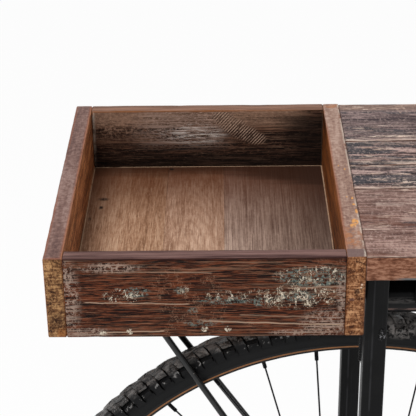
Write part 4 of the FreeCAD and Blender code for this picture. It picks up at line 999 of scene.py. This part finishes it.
for number, (start, stop, looks) in enumerate(zip(starts, stops, floor_looks), 1):
    *tones, seed, short, lined = looks
    low, high = Vector((start, floor_low.y, floor_low.z)), Vector((stop, floor_high.y, floor_high.z))
    wood = timber(f"floor_board_{number}_wood", Y, *tones, seed, rough=0.6, spread=0.11, rings=150,
                  lined=lined, short=short)
    mottle = wood.streaks((420, 200, 1), 4, 0.7)
    wood.coat(wood.band(mottle, 0.5, 0.62) * 0.2, tones[2])
    wood.coat(wood.band(mottle, 0.5, 0.38) * 0.2, tones[0])
    if number == 2:
        figure = wood.grain(7, 22, 3, 0.6) * 0.16
        across, along = (wood.x - ARCH_X) * ARCH_ACROSS, (wood.y - ARCH_Y) * ARCH_ALONG
        arch = (across ** 2 + along ** 2) ** 0.5 + figure
        wood.coat(wood.band((arch * ARCH_RINGS).sine(), 0.1, 0.9) * 0.24, tones[0])
    if number == 3:
        ribs = wood.grain(3, 620, 3, 0.6)
        wood.coat(wood.band(ribs, 0.47, 0.42) * 0.3, tones[0], height=-0.0002)
        wood.coat(wood.band(ribs, 0.53, 0.58) * 0.25, tones[2])
    # Painted shade: the boards darken towards the back and the right, most at the back edge, and along both
    # walls.
    cloudy = wood.spots(14, 4, 0.6)
    rightness = wood.band(wood.x, -0.67, -0.55)
    depth = wood.y + (cloudy - 0.5) * 0.08 + rightness * 0.03
    wood.coat(wood.band(depth, -0.04, 0.16) * 0.94, FLOOR_SHADE, 0.7)
    wood.coat(rightness * wood.band(cloudy, 0.1, 0.6) * 0.45, paint(60, 46, 38), 0.7)
    across_back = wood.streaks((9, 150, 1), 4, 0.65, shift=(seed, 0, 0))
    back_shade = wood.band(wood.y + across_back * 0.03 + rightness * 0.03, 0.13, 0.155)
    wood.coat(back_shade * 0.62, paint(24, 10, 3), 0.7)
    wood.coat(wood.band(wood.x + (cloudy - 0.5) * 0.05, -0.742, -0.785) * 0.4, paint(84, 54, 38), 0.7)
    wood.coat(wood.band(wood.x - (cloudy - 0.5) * 0.03, -0.585, -0.552) * 0.45, paint(54, 34, 26), 0.7)
    if number == 1:
        smudged = wood.band(wood.spots(160, 4, 0.7), 0.3, 0.6)
        wood.coat(patches(wood, (X, Y), knot_places, 0) * smudged, paint(34, 22, 16))
    if number == 2:
        wood.coat(near(wood, (X, Y), DARK_SPOT, DARK_SPOT_REACH, 0.2) * 0.9, paint(20, 12, 8))
    joint_line = wood.band(high.y - wood.y, 0.0018, 0.0009)
    if number != 2:
        outer = wood.x - low.x if number == 1 else high.x - wood.x
        joint_line = joint_line | wood.band(outer, 0.0016, 0.0008)
    joint_line = joint_line * wood.band(wood.spots(60, 3), 0.25, 0.5)
    wood.coat(joint_line * 0.8, paint(186, 154, 126), 0.65)
    worn_board(f"floor_board_{number}_worn", "tray_floor_boards", low, high, Y, FLOOR_ARRIS, FLOOR_WEAR,
               wood.close(), seed)


# Camera: at the photograph's height and angle, a little left of the tray and looking down on it. A long lens
# gives the photograph's mild perspective.
EYE = (-0.6499, -1.1602, 1.4475)
LOOK_DOWN, LOOK_LEFT, ROLL = math.radians(27.48), math.radians(0.8), math.radians(-0.84)
SENSOR, LENS, CLIP_END = 36, 122.32, 60
camera_data = bpy.data.cameras.new("camera")
camera_data.sensor_width = SENSOR
camera_data.lens = LENS
camera_data.clip_end = CLIP_END
camera = bpy.data.objects.new("camera", camera_data)
turn = Matrix.Rotation(LOOK_LEFT, 4, "Z") @ Matrix.Rotation(math.pi / 2 - LOOK_DOWN, 4, "X")
camera.matrix_world = Matrix.Translation(EYE) @ turn @ Matrix.Rotation(ROLL, 4, "Z")
bpy.context.scene.collection.objects.link(camera)
bpy.context.scene.camera = camera


# Room: a pale floor with soft studio light, from a wide lamp overhead and a weaker one in front. The camera
# and what reflects see the floor nearly white, with enough of its lit colour to keep the pale shadow.
STUDIO_HALF, SEEN_WHITE, SKY_LEVEL = 9, 0.94, 0.5


def room_material():
    pale = Finish("pale_floor", paint(250, 250, 250), 0.9)
    pale.coat(pale.spots(3, 3) * 0.1, paint(226, 226, 226))
    lit = pale.close()
    camera_ray, glossy_ray, clear_ray = [pale.add("ShaderNodeLightPath", out=f"Is {kind} Ray")
                                         for kind in ("Camera", "Glossy", "Transmission")]
    seen = (camera_ray | glossy_ray | clear_ray) * SEEN_WHITE
    white = pale.add("ShaderNodeEmission", {}, {"Color": (1, 1, 1, 1), "Strength": 1})
    both = pale.add("ShaderNodeMixShader", {}, {0: seen, 1: Value(pale, pale.shader.outputs[0]), 2: white})
    pale.tree.links.new(both.socket, pale.tree.nodes["Material Output"].inputs[0])
    return lit


bm = bmesh.new()
bmesh.ops.create_grid(bm, x_segments=4, y_segments=4, size=STUDIO_HALF)
mesh = bpy.data.meshes.new("studio_floor")
bm.to_mesh(mesh)
bm.free()
mesh.materials.append(room_material())
floor = bpy.data.objects.new("studio_floor", mesh)
bpy.context.scene.collection.objects.link(floor)

world = bpy.data.worlds.new("studio")
bpy.context.scene.world = world
world.use_nodes = True
sky = world.node_tree.nodes["Background"]
sky.inputs["Color"].default_value = (1, 1, 1, 1)
path = world.node_tree.nodes.new("ShaderNodeLightPath")
level = world.node_tree.nodes.new("ShaderNodeMapRange")
level.inputs["To Min"].default_value = SKY_LEVEL
level.inputs["To Max"].default_value = 1
world.node_tree.links.new(path.outputs["Is Camera Ray"], level.inputs["Value"])
world.node_tree.links.new(level.outputs[0], sky.inputs["Strength"])

for name, place, target, width, power in (
        ("overhead_lamp", (-1.2, -0.4, 2.9), (-0.4, 0, 0.8), 1.1, 32),
        ("front_lamp", (-1.6, -2.6, 1.9), (-0.5, 0, 0.7), 1.6, 22)):
    lamp_data = bpy.data.lights.new(name, "AREA")
    lamp_data.size = width
    lamp_data.energy = power
    lamp = bpy.data.objects.new(name, lamp_data)
    lamp.matrix_world = Matrix.Translation(place) @ (Vector(target) - Vector(place)).to_track_quat(
        "-Z", "Y").to_matrix().to_4x4()
    bpy.context.scene.collection.objects.link(lamp)

scene = bpy.context.scene
scene.view_settings.view_transform = "Standard"
